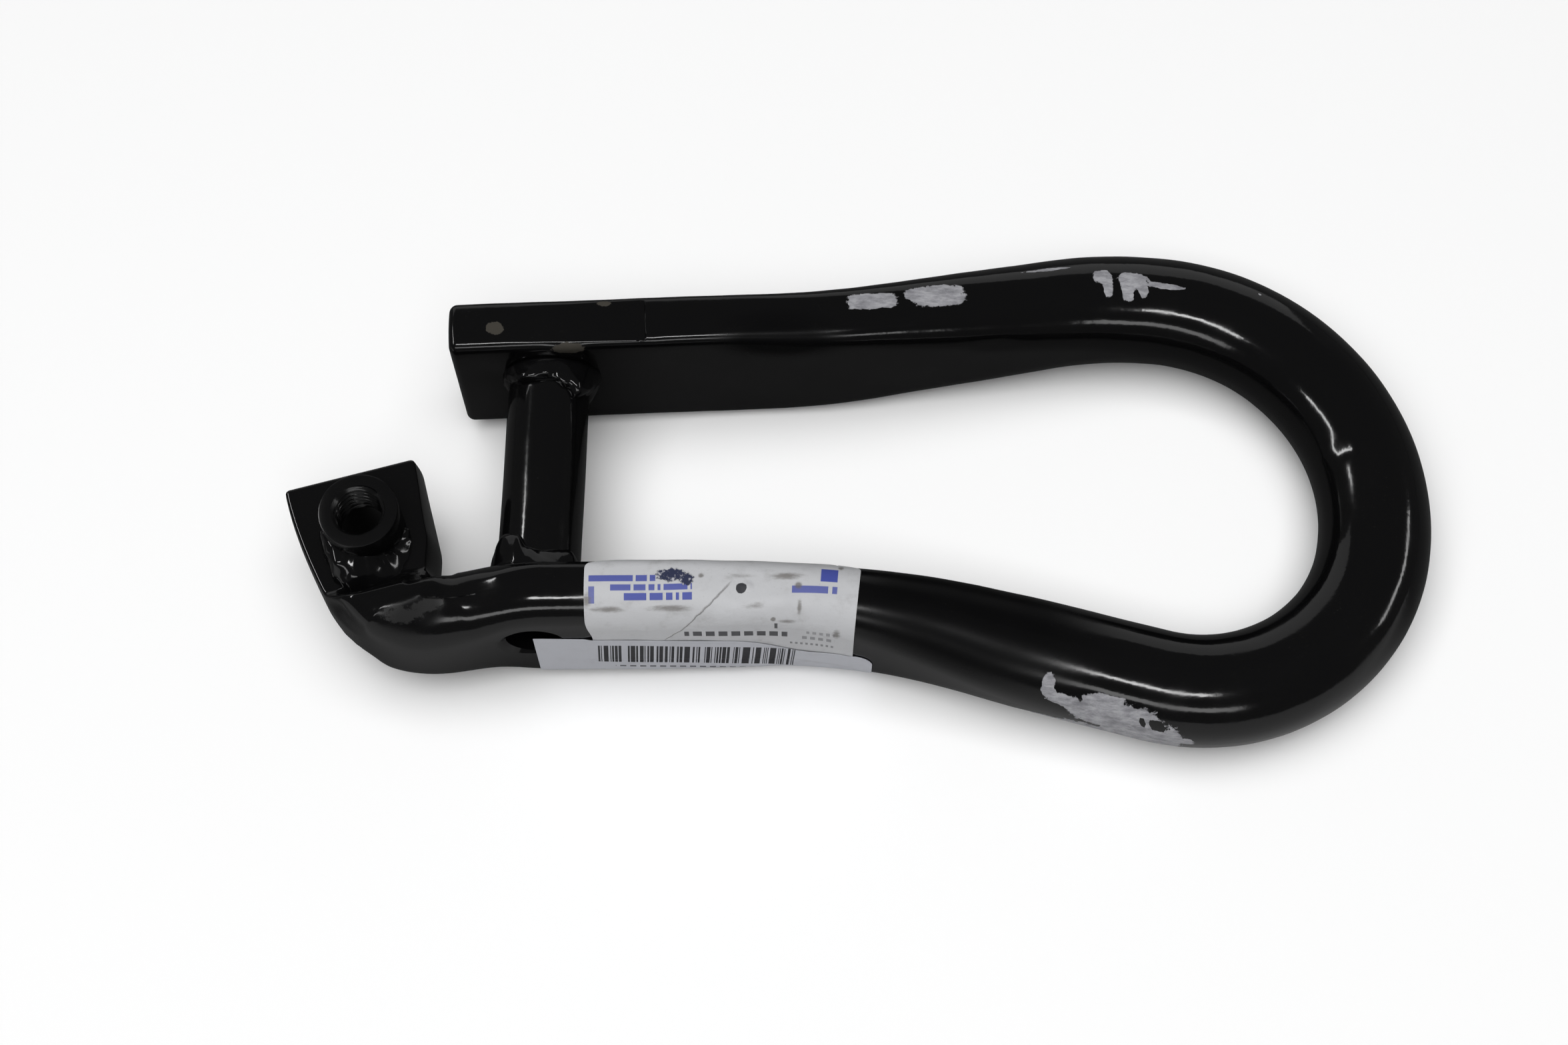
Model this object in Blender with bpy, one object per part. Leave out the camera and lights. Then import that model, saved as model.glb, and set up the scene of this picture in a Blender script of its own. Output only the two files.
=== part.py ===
"""Recovery tow hook of welded steel bar.

One round bar is bent to a teardrop loop. Both legs are pressed flat, and the lower leg ends in a
bend and a paddle. A spacer sleeve joins the legs on the line of the bolt holes, and a round nut is
welded on the paddle. Two paper labels lie round the lower leg.

Everything is drawn in the plane of the loop: X along the legs towards the nose, Y from the lower
leg to the upper leg, Z the normal of that plane, zero at the bar's middle. The whole hook is then
laid down as it comes to rest on a table, with the origin under the middle of its box.
"""

import math

import bmesh
import bpy
import numpy as np
from mathutils import Matrix, Vector

mm = 0.001

# The bar and its clearances
bar_diameter = 25.4 * mm
gap = 0.3 * mm
least_flat = 0.3 * mm
corner_steps = 5

# The centreline, from the cut end of the upper leg round the nose to the bend of the lower leg
upper_end_x = -167.8 * mm
upper_end_y = 38.1 * mm
upper_leg_splay = 0.9
upper_leg_straight = 75.3 * mm
upper_shoulder_radius = 176.0 * mm
upper_shoulder_turn = 7.6
upper_slope = 43.6 * mm
nose_entry_radius = 94.0 * mm
nose_entry_turn = 15.1
nose_upper_radius = 52.4 * mm
nose_upper_turn = 98.0
nose_lower_radius = 42.1 * mm
nose_lower_turn = 92.0
lower_slope = 40.3 * mm
lower_shoulder_radius = 186.0 * mm
lower_shoulder_turn = 15.5
lower_leg_straight = 53.5 * mm
kick_radius = 60.0 * mm
kick_turn = 9.5
kick_straight = 2.5 * mm

# The pressed legs: thickness across the flats, depth, corner radius and crown of the free sides
upper_leg_thickness = 13.0 * mm
upper_leg_depth = 39.6 * mm
upper_leg_corner = 3.2 * mm
upper_press_length = 60.4 * mm
upper_press_fade = 112.6 * mm
lower_leg_thickness = 14.6 * mm
lower_leg_depth = 36.0 * mm
lower_leg_corner = 2.8 * mm
lower_press_length = 67.0 * mm
lower_press_fade = 70.0 * mm
lower_corner_length = 40.0 * mm
leg_crown = 1.0 * mm

# The bend at the end of the lower leg
bend_swell_length = 18.0 * mm
bend_inner_radius = 3.1 * mm
bend_width = 16.7 * mm
bend_widening = 0.67
bend_depth = 30.7 * mm
bend_corner = 7.5 * mm
bend_steps = 18

# The paddle
paddle_lean = 14.2
paddle_length = 28.0 * mm
paddle_width = 31.8 * mm
paddle_thickness = 16.1 * mm
paddle_corner = 1.8 * mm
paddle_bulge = 0.6 * mm
paddle_press_start = -5.5 * mm
paddle_press_slope = 6.5 * mm
paddle_corner_start = 0.72

# The cut ends of the bar
cut_round = 2.0 * mm
cut_crown = 0.8 * mm
rim_angles = (0.0, 30.0, 60.0)

# How far the hidden cutters and blanks run past what they cut or meet
cutter_reach = 4.0 * mm

# The clearance pressed in the front of the upper leg
relief_length = 45.3 * mm
relief_depth = 0.6 * mm

# The bolt line through both legs, and the sleeve on it
bolt_hole = 13.0 * mm
bolt_from_bend = 15.7 * mm
bolt_lean = 2.2
bolt_height = 2.4 * mm
sleeve_diameter = 19.0 * mm
sleeve_bore = 13.2 * mm
sleeve_steps = 40

# The nut on the paddle
nut_diameter = 17.9 * mm
nut_height = 11.0 * mm
nut_thread_minor = 10.2 * mm
nut_thread_major = 12.0 * mm
nut_edge_chamfer = 0.5 * mm
nut_from_cut = 14.6 * mm
nut_steps = 40

# The weld beads: their reach along the plate and along the round piece
weld_root = 1.0 * mm
sleeve_weld_on_leg = 2.2 * mm
sleeve_weld_on_sleeve = 5.0 * mm
nut_weld_on_paddle = 5.0 * mm
nut_weld_on_nut = 6.0 * mm
lump_reach = 0.4
weld_convexity = 0.85
weld_end_share = 0.25
nut_weld_start = 150.0
nut_weld_end = 345.0
weld_steps = 56

# The paper labels
label_paper = 0.15 * mm
part_label_start = 27.6 * mm
part_label_length = 60.5 * mm
part_label_below = 8.0 * mm
part_label_corner_share = 0.6
barcode_label_start = 15.4 * mm
barcode_label_length = 77.5 * mm
barcode_label_left_top = 5.0 * mm
barcode_label_right_top = 1.3 * mm
barcode_label_corner_share = 0.75
label_steps = 16

# Widest spacing of the sections that the bar's mesh is made of
straight_step = 9.0 * mm
arc_step = 7.0 * mm
arc_step_turn = 6.0
taper_step = 3.0 * mm
closest_step = 1.2 * mm

# The way the hook lies: the nose and both legs touch the table
rest_span_along = 150.0 * mm
rest_span_across = 66.0 * mm


def ease(t):
    """Smooth step from 0 to 1, level at both ends."""
    t = np.clip(t, 0.0, 1.0)
    return t * t * (3.0 - 2.0 * t)


def runs_of_centreline():
    """Straight runs as (length, 0) and arcs as (radius, turn in degrees, left is positive)."""
    return [
        (upper_leg_straight, 0.0),
        (upper_shoulder_radius, upper_shoulder_turn),
        (upper_slope, 0.0),
        (nose_entry_radius, -nose_entry_turn),
        (nose_upper_radius, -nose_upper_turn),
        (nose_lower_radius, -nose_lower_turn),
        (lower_slope, 0.0),
        (lower_shoulder_radius, lower_shoulder_turn),
        (lower_leg_straight, 0.0),
        (kick_radius, kick_turn),
        (kick_straight, 0.0),
    ]


def run_length(run):
    """Length of one run of the centreline."""
    size, turn = run
    return size if turn == 0.0 else size * math.radians(abs(turn))


def loop_length():
    """Length of the centreline from the cut end of the upper leg to the bend."""
    return sum(run_length(run) for run in runs_of_centreline())


def centreline(s):
    """Point (x, y) and heading of the centreline at the length s."""
    x, y = upper_end_x, upper_end_y
    heading = math.radians(upper_leg_splay)
    for run in runs_of_centreline():
        size, turn = run
        length = run_length(run)
        part = min(s, length)
        if turn == 0.0:
            x += part * math.cos(heading)
            y += part * math.sin(heading)
        else:
            side = math.copysign(1.0, turn)
            new = heading + side * part / size
            x += side * size * (math.sin(new) - math.sin(heading))
            y -= side * size * (math.cos(new) - math.cos(heading))
            heading = new
        s -= part
        if s <= 0.0:
            break
    return x, y, heading


def blend(a, b, share):
    """Section between two sections of half width, half depth, corner radius, crown and bulge."""
    return tuple(u + (v - u) * share for u, v in zip(a, b))


def round_section():
    """The bar as it was rolled, with the smallest flat that keeps its mesh regular."""
    half = bar_diameter / 2.0
    return half, half, half - least_flat / 2.0, 0.0, 0.0


def leg_section(thickness, depth, corner):
    """A pressed leg: two flats, rounded corners and crowned free sides."""
    return thickness / 2.0, depth / 2.0 - leg_crown, corner, leg_crown, 0.0


def section_on_loop(s):
    """Section of the bar at the length s of the loop."""
    back = loop_length() - s
    upper = leg_section(upper_leg_thickness, upper_leg_depth, upper_leg_corner)
    lower = leg_section(lower_leg_thickness, lower_leg_depth, lower_leg_corner)
    bend = (bend_width / 2.0, bend_depth / 2.0, bend_corner, 0.0, 0.0)
    if s < back:
        return blend(upper, round_section(), float(ease((s - upper_press_length) / upper_press_fade)))
    pressed = blend(lower, round_section(), float(ease((back - lower_press_length) / lower_press_fade)))
    corner_fade = lower_press_length + lower_press_fade - lower_corner_length
    corner = blend(lower, round_section(), float(ease((back - lower_corner_length) / corner_fade)))[2]
    pressed = (*pressed[:2], min(corner, pressed[0] - least_flat / 2.0), *pressed[3:])
    return blend(bend, pressed, float(ease(back / bend_swell_length)))


def bend_turn():
    """Angle of the bend, from the lower leg's heading to the paddle's."""
    heading = centreline(loop_length())[2]
    return heading - (math.radians(90.0 + paddle_lean) - 2.0 * math.pi)


def bend_pivot():
    """Inner corner of the bend, round which its sections fan out."""
    x, y, heading = centreline(loop_length())
    reach = bend_width / 2.0 + bend_inner_radius
    return x + reach * math.sin(heading), y - reach * math.cos(heading)


def plate_section(half, share):
    """Section in the bend and on the paddle, before the press: its corners tighten and its free sides bulge."""
    tight = float(ease((share - paddle_corner_start) / (1.0 - paddle_corner_start)))
    bulge = paddle_bulge * tight
    return half - bulge, bend_depth / 2.0, bend_corner + (paddle_corner - bend_corner) * tight, 0.0, bulge


def plate_width(share):
    """Width in the plane of the loop, from the start of the bend (0) to the cut end of the paddle (1)."""
    return bend_width + (paddle_width - bend_width) * float(ease(share))


def station_in_bend(share):
    """Centre, heading and section at a share of the bend's turn."""
    px, py = bend_pivot()
    heading = centreline(loop_length())[2] - bend_turn() * share
    half = plate_width(bend_widening * share) / 2.0
    reach = half + bend_inner_radius
    section = plate_section(half, share)
    return px - reach * math.sin(heading), py + reach * math.cos(heading), heading, section


def station_on_paddle(distance):
    """Centre, heading and section at a distance from the bend's end along the paddle's inner side."""
    x, y, heading, _ = station_in_bend(1.0)
    share = bend_widening + (1.0 - bend_widening) * distance / paddle_length
    half = plate_width(share) / 2.0
    grown = half - plate_width(bend_widening) / 2.0
    x += distance * math.cos(heading) - grown * math.sin(heading)
    y += distance * math.sin(heading) + grown * math.cos(heading)
    return x, y, heading, plate_section(half, 1.0)


def station_on_loop(s):
    """Centre, heading and section at the length s of the loop."""
    x, y, heading = centreline(s)
    return x, y, heading, section_on_loop(s)


def shrink(station, inset, along):
    """A station with its section inset, moved along its heading, for the rounded rim of a cut end."""
    x, y, heading, (half, depth, corner, crown, bulge) = station
    corner = max(corner - inset, least_flat)
    x += along * math.cos(heading)
    y += along * math.sin(heading)
    return x, y, heading, (half - inset, depth - inset, corner, crown, bulge)


def rim(station, direction):
    """Stations of the rounded rim of a cut end, from its face inwards; direction is +1 at the first end."""
    out = []
    for angle in rim_angles:
        inset = cut_round * (1.0 - math.sin(math.radians(angle)))
        along = cut_round * (1.0 - math.cos(math.radians(angle)))
        out.append(shrink(station, inset, direction * (along - cut_round)))
    return out


def spread(start, end, step):
    """Evenly spaced values from start to end, both included, at most a step apart."""
    count = max(1, math.ceil((end - start) / step - 1e-6))
    return [start + (end - start) * i / count for i in range(count + 1)]


def loop_lengths():
    """Lengths of the loop's stations: close in the bends and tapers, wide on the straight legs."""
    total = loop_length()
    out = [cut_round]
    at = 0.0
    for run in runs_of_centreline():
        size, turn = run
        step = straight_step if turn == 0.0 else min(size * math.radians(arc_step_turn), arc_step)
        out += [v for v in spread(at, at + run_length(run), step) if v > cut_round + 0.8 * closest_step]
        at += run_length(run)
    out += spread(total - bend_swell_length, total, taper_step)
    kept = []
    for value in sorted(out):
        if not kept or value - kept[-1] > closest_step:
            kept.append(value)
    kept[-1] = total
    return kept


def all_stations():
    """Every station of the bar, from the cut end of the upper leg to the cut end of the paddle."""
    first = station_on_loop(cut_round)
    out = rim(first, 1.0)
    out += [station_on_loop(s) for s in loop_lengths()]
    out += [station_in_bend(share) for share in spread(0.0, 1.0, 1.0 / bend_steps)[1:]]
    straight_end = paddle_length - cut_round
    foot = paddle_press_start + paddle_press_slope
    out += [station_on_paddle(foot)]
    out += [station_on_paddle(d) for d in spread(foot, straight_end, arc_step)[1:]]
    last = station_on_paddle(straight_end)
    out += rim(last, -1.0)[::-1]
    return out


def ring(station, grow):
    """Outline of one section as points: four rounded corners joined by flats.

    The crown rounds the front and the back, and the bulge the two sides in the plane of the loop.
    """
    x, y, heading, (half, depth, corner, crown, bulge) = station
    half, depth, corner = half + grow, depth + grow, corner + grow
    angle = np.linspace(0.0, math.pi / 2.0, corner_steps + 1)
    across, up = [], []
    for quarter, (side, top) in enumerate(((1, 1), (-1, 1), (-1, -1), (1, -1))):
        turn = angle + quarter * math.pi / 2.0
        across.append(side * (half - corner) + corner * np.cos(turn))
        up.append(top * (depth - corner) + corner * np.sin(turn))
        if side == top:
            across.append([0.0])
            up.append([top * depth])
    across, up = np.concatenate(across), np.concatenate(up)
    crowned = up + crown * (1.0 - (across / half) ** 2) * up / depth
    across = across + bulge * (1.0 - (up / depth) ** 2) * across / half
    return np.stack([x - across * math.sin(heading), y + across * math.cos(heading), crowned], axis=1)


def pressed(rings, grow):
    """Rings of the bend and the paddle after the press.

    The die's edge is straight across the plate. Beyond it the depth falls from the bend's to the paddle's.
    """
    px, py = bend_pivot()
    heading = station_in_bend(1.0)[2]
    beyond = (rings[..., 0] - px) * math.cos(heading) + (rings[..., 1] - py) * math.sin(heading)
    share = ease((beyond - paddle_press_start) / paddle_press_slope)
    ratio = (paddle_thickness / 2.0 + grow) / (bend_depth / 2.0 + grow)
    out = rings.copy()
    out[..., 2] *= 1.0 + (ratio - 1.0) * share
    return out


def bar_mesh(grow):
    """Vertices and faces of the whole bar, its surface moved outwards by grow."""
    stations = all_stations()
    rings = np.stack([ring(station, grow) for station in stations])
    first_bent = len(rim_angles) + len(loop_lengths())
    rings[first_bent:] = pressed(rings[first_bent:], grow)
    count, around = rings.shape[:2]
    vertices = rings.reshape(-1, 3)
    faces = []
    for i in range(count - 1):
        for j in range(around):
            k = (j + 1) % around
            faces.append((i * around + j, i * around + k, (i + 1) * around + k, (i + 1) * around + j))
    ends = []
    for index, direction in ((0, -1.0), (count - 1, 1.0)):
        x, y, heading, _ = stations[index]
        reach = direction * (cut_crown + grow)
        ends.append((x + reach * math.cos(heading), y + reach * math.sin(heading), 0.0))
    first_tip = len(vertices)
    vertices = np.vstack([vertices, ends])
    for j in range(around):
        k = (j + 1) % around
        base = (count - 1) * around
        faces.append((first_tip, k, j))
        faces.append((first_tip + 1, base + j, base + k))
    return vertices, faces


def make_object(name, vertices, faces):
    """A new mesh object with its faces pointing out."""
    mesh = bpy.data.meshes.new(name)
    mesh.from_pydata([tuple(v) for v in vertices], [], faces)
    work = bmesh.new()
    work.from_mesh(mesh)
    bmesh.ops.recalc_face_normals(work, faces=work.faces)
    work.to_mesh(mesh)
    work.free()
    mesh.shade_smooth()
    mesh.set_sharp_from_angle(angle=math.radians(35.0))
    item = bpy.data.objects.new(name, mesh)
    bpy.context.collection.objects.link(item)
    return item


def finish(item, colour, roughness, metallic):
    """Give an object its own material."""
    material = bpy.data.materials.new(item.name)
    material.use_nodes = True
    shader = material.node_tree.nodes["Principled BSDF"]
    shader.inputs["Base Color"].default_value = (*colour, 1.0)
    shader.inputs["Roughness"].default_value = roughness
    shader.inputs["Metallic"].default_value = metallic
    item.data.materials.append(material)


def make_cutter(name, vertices, faces):
    """A hidden solid for a Boolean cut."""
    cutter = make_object(name, vertices, faces)
    cutter.hide_render = True
    cutter.display_type = "WIRE"
    return cutter


def cut(item, cutter):
    """Take the cutter out of the object."""
    modifier = item.modifiers.new("cut " + cutter.name, "BOOLEAN")
    modifier.operation = "DIFFERENCE"
    modifier.solver = "EXACT"
    modifier.object = cutter


def turned(profile, steps, place):
    """A closed profile of (radius, height) pairs turned round the local Z axis, then put in place."""
    count = len(profile)
    angle = np.arange(steps) * 2.0 * math.pi / steps
    radius = np.array([r for r, _ in profile])
    height = np.array([h for _, h in profile])
    grid = np.stack([
        np.outer(np.cos(angle), radius),
        np.outer(np.sin(angle), radius),
        np.outer(np.ones(steps), height),
    ], axis=2)
    faces = []
    for i in range(steps):
        n = (i + 1) % steps
        for j in range(count):
            k = (j + 1) % count
            faces.append((i * count + j, n * count + j, n * count + k, i * count + k))
    return placed(grid.reshape(-1, 3), place), faces


def rod(radius, low, high, steps, place):
    """A solid rod between two heights."""
    vertices, faces = turned([(radius, low), (radius, high)], steps, place)
    faces = [face for face in faces if face[0] % 2 == 0]
    faces.append(tuple(range(0, 2 * steps, 2)))
    faces.append(tuple(range(1, 2 * steps, 2)))
    return vertices, faces


def placed(points, place):
    """Points moved by a matrix."""
    matrix = np.array(place)
    return points @ matrix[:3, :3].T + matrix[:3, 3]


def bolt_place():
    """Frame of the bolt line: origin at the lower leg's centreline, Z towards the upper leg."""
    x, y, _ = centreline(loop_length() - bolt_from_bend)
    return Matrix.Translation((x, y, bolt_height)) @ Matrix.Rotation(-math.radians(bolt_lean), 4, "Z") \
        @ Matrix.Rotation(-math.pi / 2.0, 4, "X")


def bolt_span():
    """Distance along the bolt line from the lower leg's centreline to the upper leg's."""
    place = bolt_place()
    start, way = place.translation, place.to_3x3() @ Vector((0.0, 0.0, 1.0))
    x, y, heading = centreline(0.0)
    normal = Vector((-math.sin(heading), math.cos(heading), 0.0))
    return (Vector((x, y, 0.0)) - Vector((start.x, start.y, 0.0))).dot(normal) / way.dot(normal)


def nut_place():
    """Frame of the nut: origin on the paddle's front face, Z along the nut's axis."""
    x, y, heading, _ = station_on_paddle(paddle_length - nut_from_cut)
    return Matrix.Translation((x, y, paddle_thickness / 2.0)) @ Matrix.Rotation(heading - math.pi / 2.0, 4, "Z")


def make_hook_bar():
    """The forged bar, with its bolt holes, the nut's bolt hole and the clearance in the upper leg."""
    bar = make_object("hook_bar", *bar_mesh(0.0))
    reach = bolt_span() + upper_leg_thickness + lower_leg_thickness
    drill = rod(bolt_hole / 2.0, -lower_leg_thickness, reach, sleeve_steps, bolt_place())
    cut(bar, make_cutter("bolt_drill", *drill))
    drill = rod(bolt_hole / 2.0, -paddle_thickness - cutter_reach, cutter_reach, nut_steps, nut_place())
    cut(bar, make_cutter("nut_drill", *drill))
    cut(bar, make_relief())
    finish(bar, (0.012, 0.012, 0.013), 0.16, 0.0)
    return bar


def make_relief():
    """The clearance block: it takes the crown off the front of the upper leg, from the cut end on."""
    x, y, heading = centreline(relief_length)
    low = upper_leg_depth / 2.0 - relief_depth
    high = upper_leg_depth / 2.0 + cutter_reach
    back = relief_length + cut_crown + cutter_reach
    side = upper_leg_thickness
    corners = [(a, b, c) for a in (-back, 0.0) for b in (-side, side) for c in (low, high)]
    place = Matrix.Translation((x, y, 0.0)) @ Matrix.Rotation(heading, 4, "Z")
    faces = [(0, 1, 3, 2), (4, 6, 7, 5), (0, 4, 5, 1), (2, 3, 7, 6), (0, 2, 6, 4), (1, 5, 7, 3)]
    return make_cutter("relief_block", placed(np.array(corners), place), faces)


def make_sleeve(grown_bar):
    """The spacer sleeve, coped to the inner flats of both legs."""
    outer, inner = sleeve_diameter / 2.0, sleeve_bore / 2.0
    low = lower_leg_thickness / 2.0 - cutter_reach
    high = bolt_span() - upper_leg_thickness / 2.0 + cutter_reach
    profile = [(inner, low), (outer, low), (outer, high), (inner, high)]
    sleeve = make_object("spacer_sleeve", *turned(profile, sleeve_steps, bolt_place()))
    cut(sleeve, grown_bar)
    finish(sleeve, (0.012, 0.012, 0.013), 0.16, 0.0)
    return sleeve


def make_nut():
    """The round nut: chamfered rims outside, countersunk thread bore inside."""
    outer, bore, mouth = nut_diameter / 2.0, nut_thread_minor / 2.0, nut_thread_major / 2.0
    edge, sink = nut_edge_chamfer, (nut_thread_major - nut_thread_minor) / 2.0
    low, high = gap, nut_height
    profile = [
        (bore, low + sink),
        (mouth, low),
        (outer - edge, low),
        (outer, low + edge),
        (outer, high - edge),
        (outer - edge, high),
        (mouth, high),
        (bore, high - sink),
    ]
    nut = make_object("weld_nut", *turned(profile, nut_steps, nut_place()))
    finish(nut, (0.014, 0.014, 0.015), 0.28, 0.0)
    return nut


def bead(place, radius, on_plate, on_round, lumps, start, end):
    """A weld bead round a round piece that stands on a plate.

    Its section is a triangle with a full, convex face. Each lump (angle, width, share) swells it.
    A full ring has start 0 and end 360; otherwise the bead tapers to its two ends.
    """
    whole = end - start >= 360.0
    count = weld_steps
    angle = np.linspace(start, end, count, endpoint=not whole)
    swell = np.ones(count)
    for middle, width, share in lumps:
        off = (angle - middle + 180.0) % 360.0 - 180.0
        swell += share * np.exp(-(off / width) ** 2)
    if not whole:
        along = np.sin(np.linspace(0.0, math.pi, count + 2)[1:-1])
        swell *= weld_end_share + (1.0 - weld_end_share) * np.sqrt(along)
    face = np.radians(np.array([0.0, 25.0, 45.0, 65.0, 90.0]))
    reach = 1.0 + lump_reach * (swell - 1.0)
    out = radius + np.outer(reach * on_plate, np.cos(face) ** weld_convexity)
    rise = np.outer(swell * on_round, np.sin(face) ** weld_convexity)
    root = np.full((count, 1), radius - weld_root)
    out = np.hstack([root, out[:, :1], out, root])
    rise = np.hstack([np.full((count, 2), -weld_root), rise, rise[:, -1:]])
    turn = np.radians(angle)[:, None]
    grid = np.stack([out * np.cos(turn), out * np.sin(turn), rise], axis=2)
    around = out.shape[1]
    faces = []
    for i in range(count if whole else count - 1):
        n = (i + 1) % count
        for j in range(around):
            k = (j + 1) % around
            faces.append((i * around + j, n * around + j, n * around + k, i * around + k))
    if not whole:
        faces.append(tuple(range(around)))
        faces.append(tuple((count - 1) * around + j for j in range(around)))
    return placed(grid.reshape(-1, 3), place), faces


def sleeve_weld(name, place, lumps, grown_bar, grown_sleeve):
    """A ring of weld between the sleeve and one leg."""
    shape = bead(place, sleeve_diameter / 2.0, sleeve_weld_on_leg, sleeve_weld_on_sleeve, lumps, 0.0, 360.0)
    weld = make_object(name, *shape)
    cut(weld, grown_bar)
    cut(weld, grown_sleeve)
    finish(weld, (0.012, 0.012, 0.013), 0.14, 0.0)
    return weld


def make_sleeve_welds(grown_bar):
    """The two rings of weld at the ends of the sleeve."""
    start, end = -cutter_reach, bolt_span() + cutter_reach
    core = rod(sleeve_diameter / 2.0 + gap, start, end, sleeve_steps, bolt_place())
    grown_sleeve = make_cutter("sleeve_clearance", *core)
    lower = bolt_place() @ Matrix.Translation((0.0, 0.0, lower_leg_thickness / 2.0))
    upper = bolt_place() @ Matrix.Translation((0.0, 0.0, bolt_span() - upper_leg_thickness / 2.0)) \
        @ Matrix.Rotation(math.pi, 4, "X")
    lower_lumps = [(215.0, 26.0, 0.75), (300.0, 30.0, -0.35), (60.0, 40.0, 0.1)]
    upper_lumps = [(118.0, 22.0, 0.25), (82.0, 14.0, 0.15), (48.0, 17.0, 0.65), (250.0, 50.0, 0.1)]
    return [
        sleeve_weld("sleeve_weld_lower", lower, lower_lumps, grown_bar, grown_sleeve),
        sleeve_weld("sleeve_weld_upper", upper, upper_lumps, grown_bar, grown_sleeve),
    ]


def make_nut_weld(grown_bar):
    """The bead that joins the nut to the paddle and fills in towards the bend."""
    core = rod(nut_diameter / 2.0 + gap, -cutter_reach, nut_height + cutter_reach, nut_steps, nut_place())
    grown_nut = make_cutter("nut_clearance", *core)
    lumps = [(225.0, 22.0, 0.3), (262.0, 16.0, 0.25), (305.0, 20.0, 0.2)]
    shape = bead(nut_place(), nut_diameter / 2.0, nut_weld_on_paddle, nut_weld_on_nut, lumps,
                 nut_weld_start, nut_weld_end)
    weld = make_object("nut_weld", *shape)
    cut(weld, grown_bar)
    cut(weld, grown_nut)
    finish(weld, (0.012, 0.012, 0.013), 0.14, 0.0)
    return weld


def surface_point(station, distance, lift):
    """Point a distance round the section from the middle of the outer flat, lifted off the surface."""
    x, y, heading, (half, depth, corner, crown, _) = station
    side = math.copysign(1.0, distance)
    left = abs(distance)
    flat, arc, front = depth - corner, corner * math.pi / 2.0, 2.0 * (half - corner)
    if left <= flat:
        across, up, turn = half, left, 0.0
    elif left <= flat + arc:
        turn = (left - flat) / corner
        across, up = half - corner + corner * math.cos(turn), flat + corner * math.sin(turn)
    elif left <= flat + arc + front:
        across, up, turn = half - corner - (left - flat - arc), depth, math.pi / 2.0
    else:
        turn = math.pi / 2.0 + (left - flat - arc - front) / corner
        across = corner - half + corner * math.cos(turn)
        up = flat + corner * math.sin(turn)
    up += crown * (1.0 - (across / half) ** 2) * up / depth
    across += lift * math.cos(turn)
    up += lift * math.sin(turn)
    return x - across * math.sin(heading), y + across * math.cos(heading), side * up


def section_runs(station):
    """Half the outer flat, one corner arc and the whole front, as lengths round a section."""
    half, depth, corner = station[3][:3]
    return depth - corner, corner * math.pi / 2.0, 2.0 * (half - corner)


def part_label_rows(share, station):
    """Distances round the section that the first label's rows follow, from its lower edge up."""
    flat, arc, front = section_runs(station)
    rows = list(np.linspace(-part_label_below, flat, 5))
    rows += list(flat + arc * np.linspace(0.0, 1.0, corner_steps + 1)[1:])
    rows += list(flat + arc + front * np.linspace(0.0, 1.0, 3)[1:])
    return rows + list(flat + arc + front + arc * part_label_corner_share * np.linspace(0.0, 1.0, 4)[1:])


def barcode_label_rows(share, station):
    """The same for the second label, which starts in the rear corner and was put on aslant."""
    flat, arc, _ = section_runs(station)
    top = barcode_label_left_top + (barcode_label_right_top - barcode_label_left_top) * share
    rows = list(-flat - arc * np.linspace(barcode_label_corner_share, 0.0, 5))
    return rows + list(np.linspace(-flat, top, 6)[1:])


def label_mesh(start, length, rows_at, lift):
    """A sheet of paper wrapped on the lower leg: start and length run from the bend towards the nose."""
    layers = []
    for offset in (lift, lift + label_paper):
        layer = []
        for i in range(label_steps + 1):
            share = i / label_steps
            station = station_on_loop(loop_length() - start - share * length)
            layer.append([surface_point(station, distance, offset) for distance in rows_at(share, station)])
        layers.append(layer)
    row = len(layers[0][0])
    points = np.array(layers).reshape(-1, 3)
    size = len(points) // 2
    faces = []
    for i in range(label_steps):
        for j in range(row - 1):
            a, b, c, d = i * row + j, (i + 1) * row + j, (i + 1) * row + j + 1, i * row + j + 1
            faces.append((a, b, c, d))
            faces.append((size + a, size + d, size + c, size + b))
    edge = [i * row for i in range(label_steps + 1)]
    edge += [label_steps * row + j for j in range(1, row)]
    edge += [i * row + row - 1 for i in range(label_steps - 1, -1, -1)]
    edge += list(range(row - 2, 0, -1))
    for a, b in zip(edge, edge[1:] + edge[:1]):
        faces.append((a, size + a, size + b, b))
    return points, faces


def make_labels():
    """The two paper labels: the first round the front of the leg, the second over it on the outer flat."""
    first = label_mesh(part_label_start, part_label_length, part_label_rows, gap)
    part_label = make_object("part_label", *first)
    finish(part_label, (0.86, 0.86, 0.88), 0.5, 0.0)
    second = label_mesh(barcode_label_start, barcode_label_length, barcode_label_rows, 2.0 * gap + label_paper)
    barcode_label = make_object("barcode_label", *second)
    finish(barcode_label, (0.90, 0.90, 0.91), 0.45, 0.0)
    return [part_label, barcode_label]


def resting_place():
    """Matrix that lays the hook down and puts the origin under the middle of its box."""
    pitch = math.atan2((upper_leg_depth - bar_diameter) / 2.0, rest_span_along)
    roll = math.atan2((upper_leg_depth - lower_leg_depth) / 2.0, rest_span_across)
    turn = Matrix.Rotation(pitch, 4, "Y") @ Matrix.Rotation(roll, 4, "X")
    points = placed(bar_mesh(0.0)[0], turn)
    low, high = points.min(axis=0), points.max(axis=0)
    return Matrix.Translation((-(low[0] + high[0]) / 2.0, -(low[1] + high[1]) / 2.0, -low[2])) @ turn


for old in list(bpy.data.objects):
    bpy.data.objects.remove(old, do_unlink=True)

clearance = make_cutter("bar_clearance", *bar_mesh(gap))
pieces = [make_hook_bar(), make_sleeve(clearance), make_nut(), *make_sleeve_welds(clearance)]
pieces += [make_nut_weld(clearance), *make_labels()]

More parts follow.
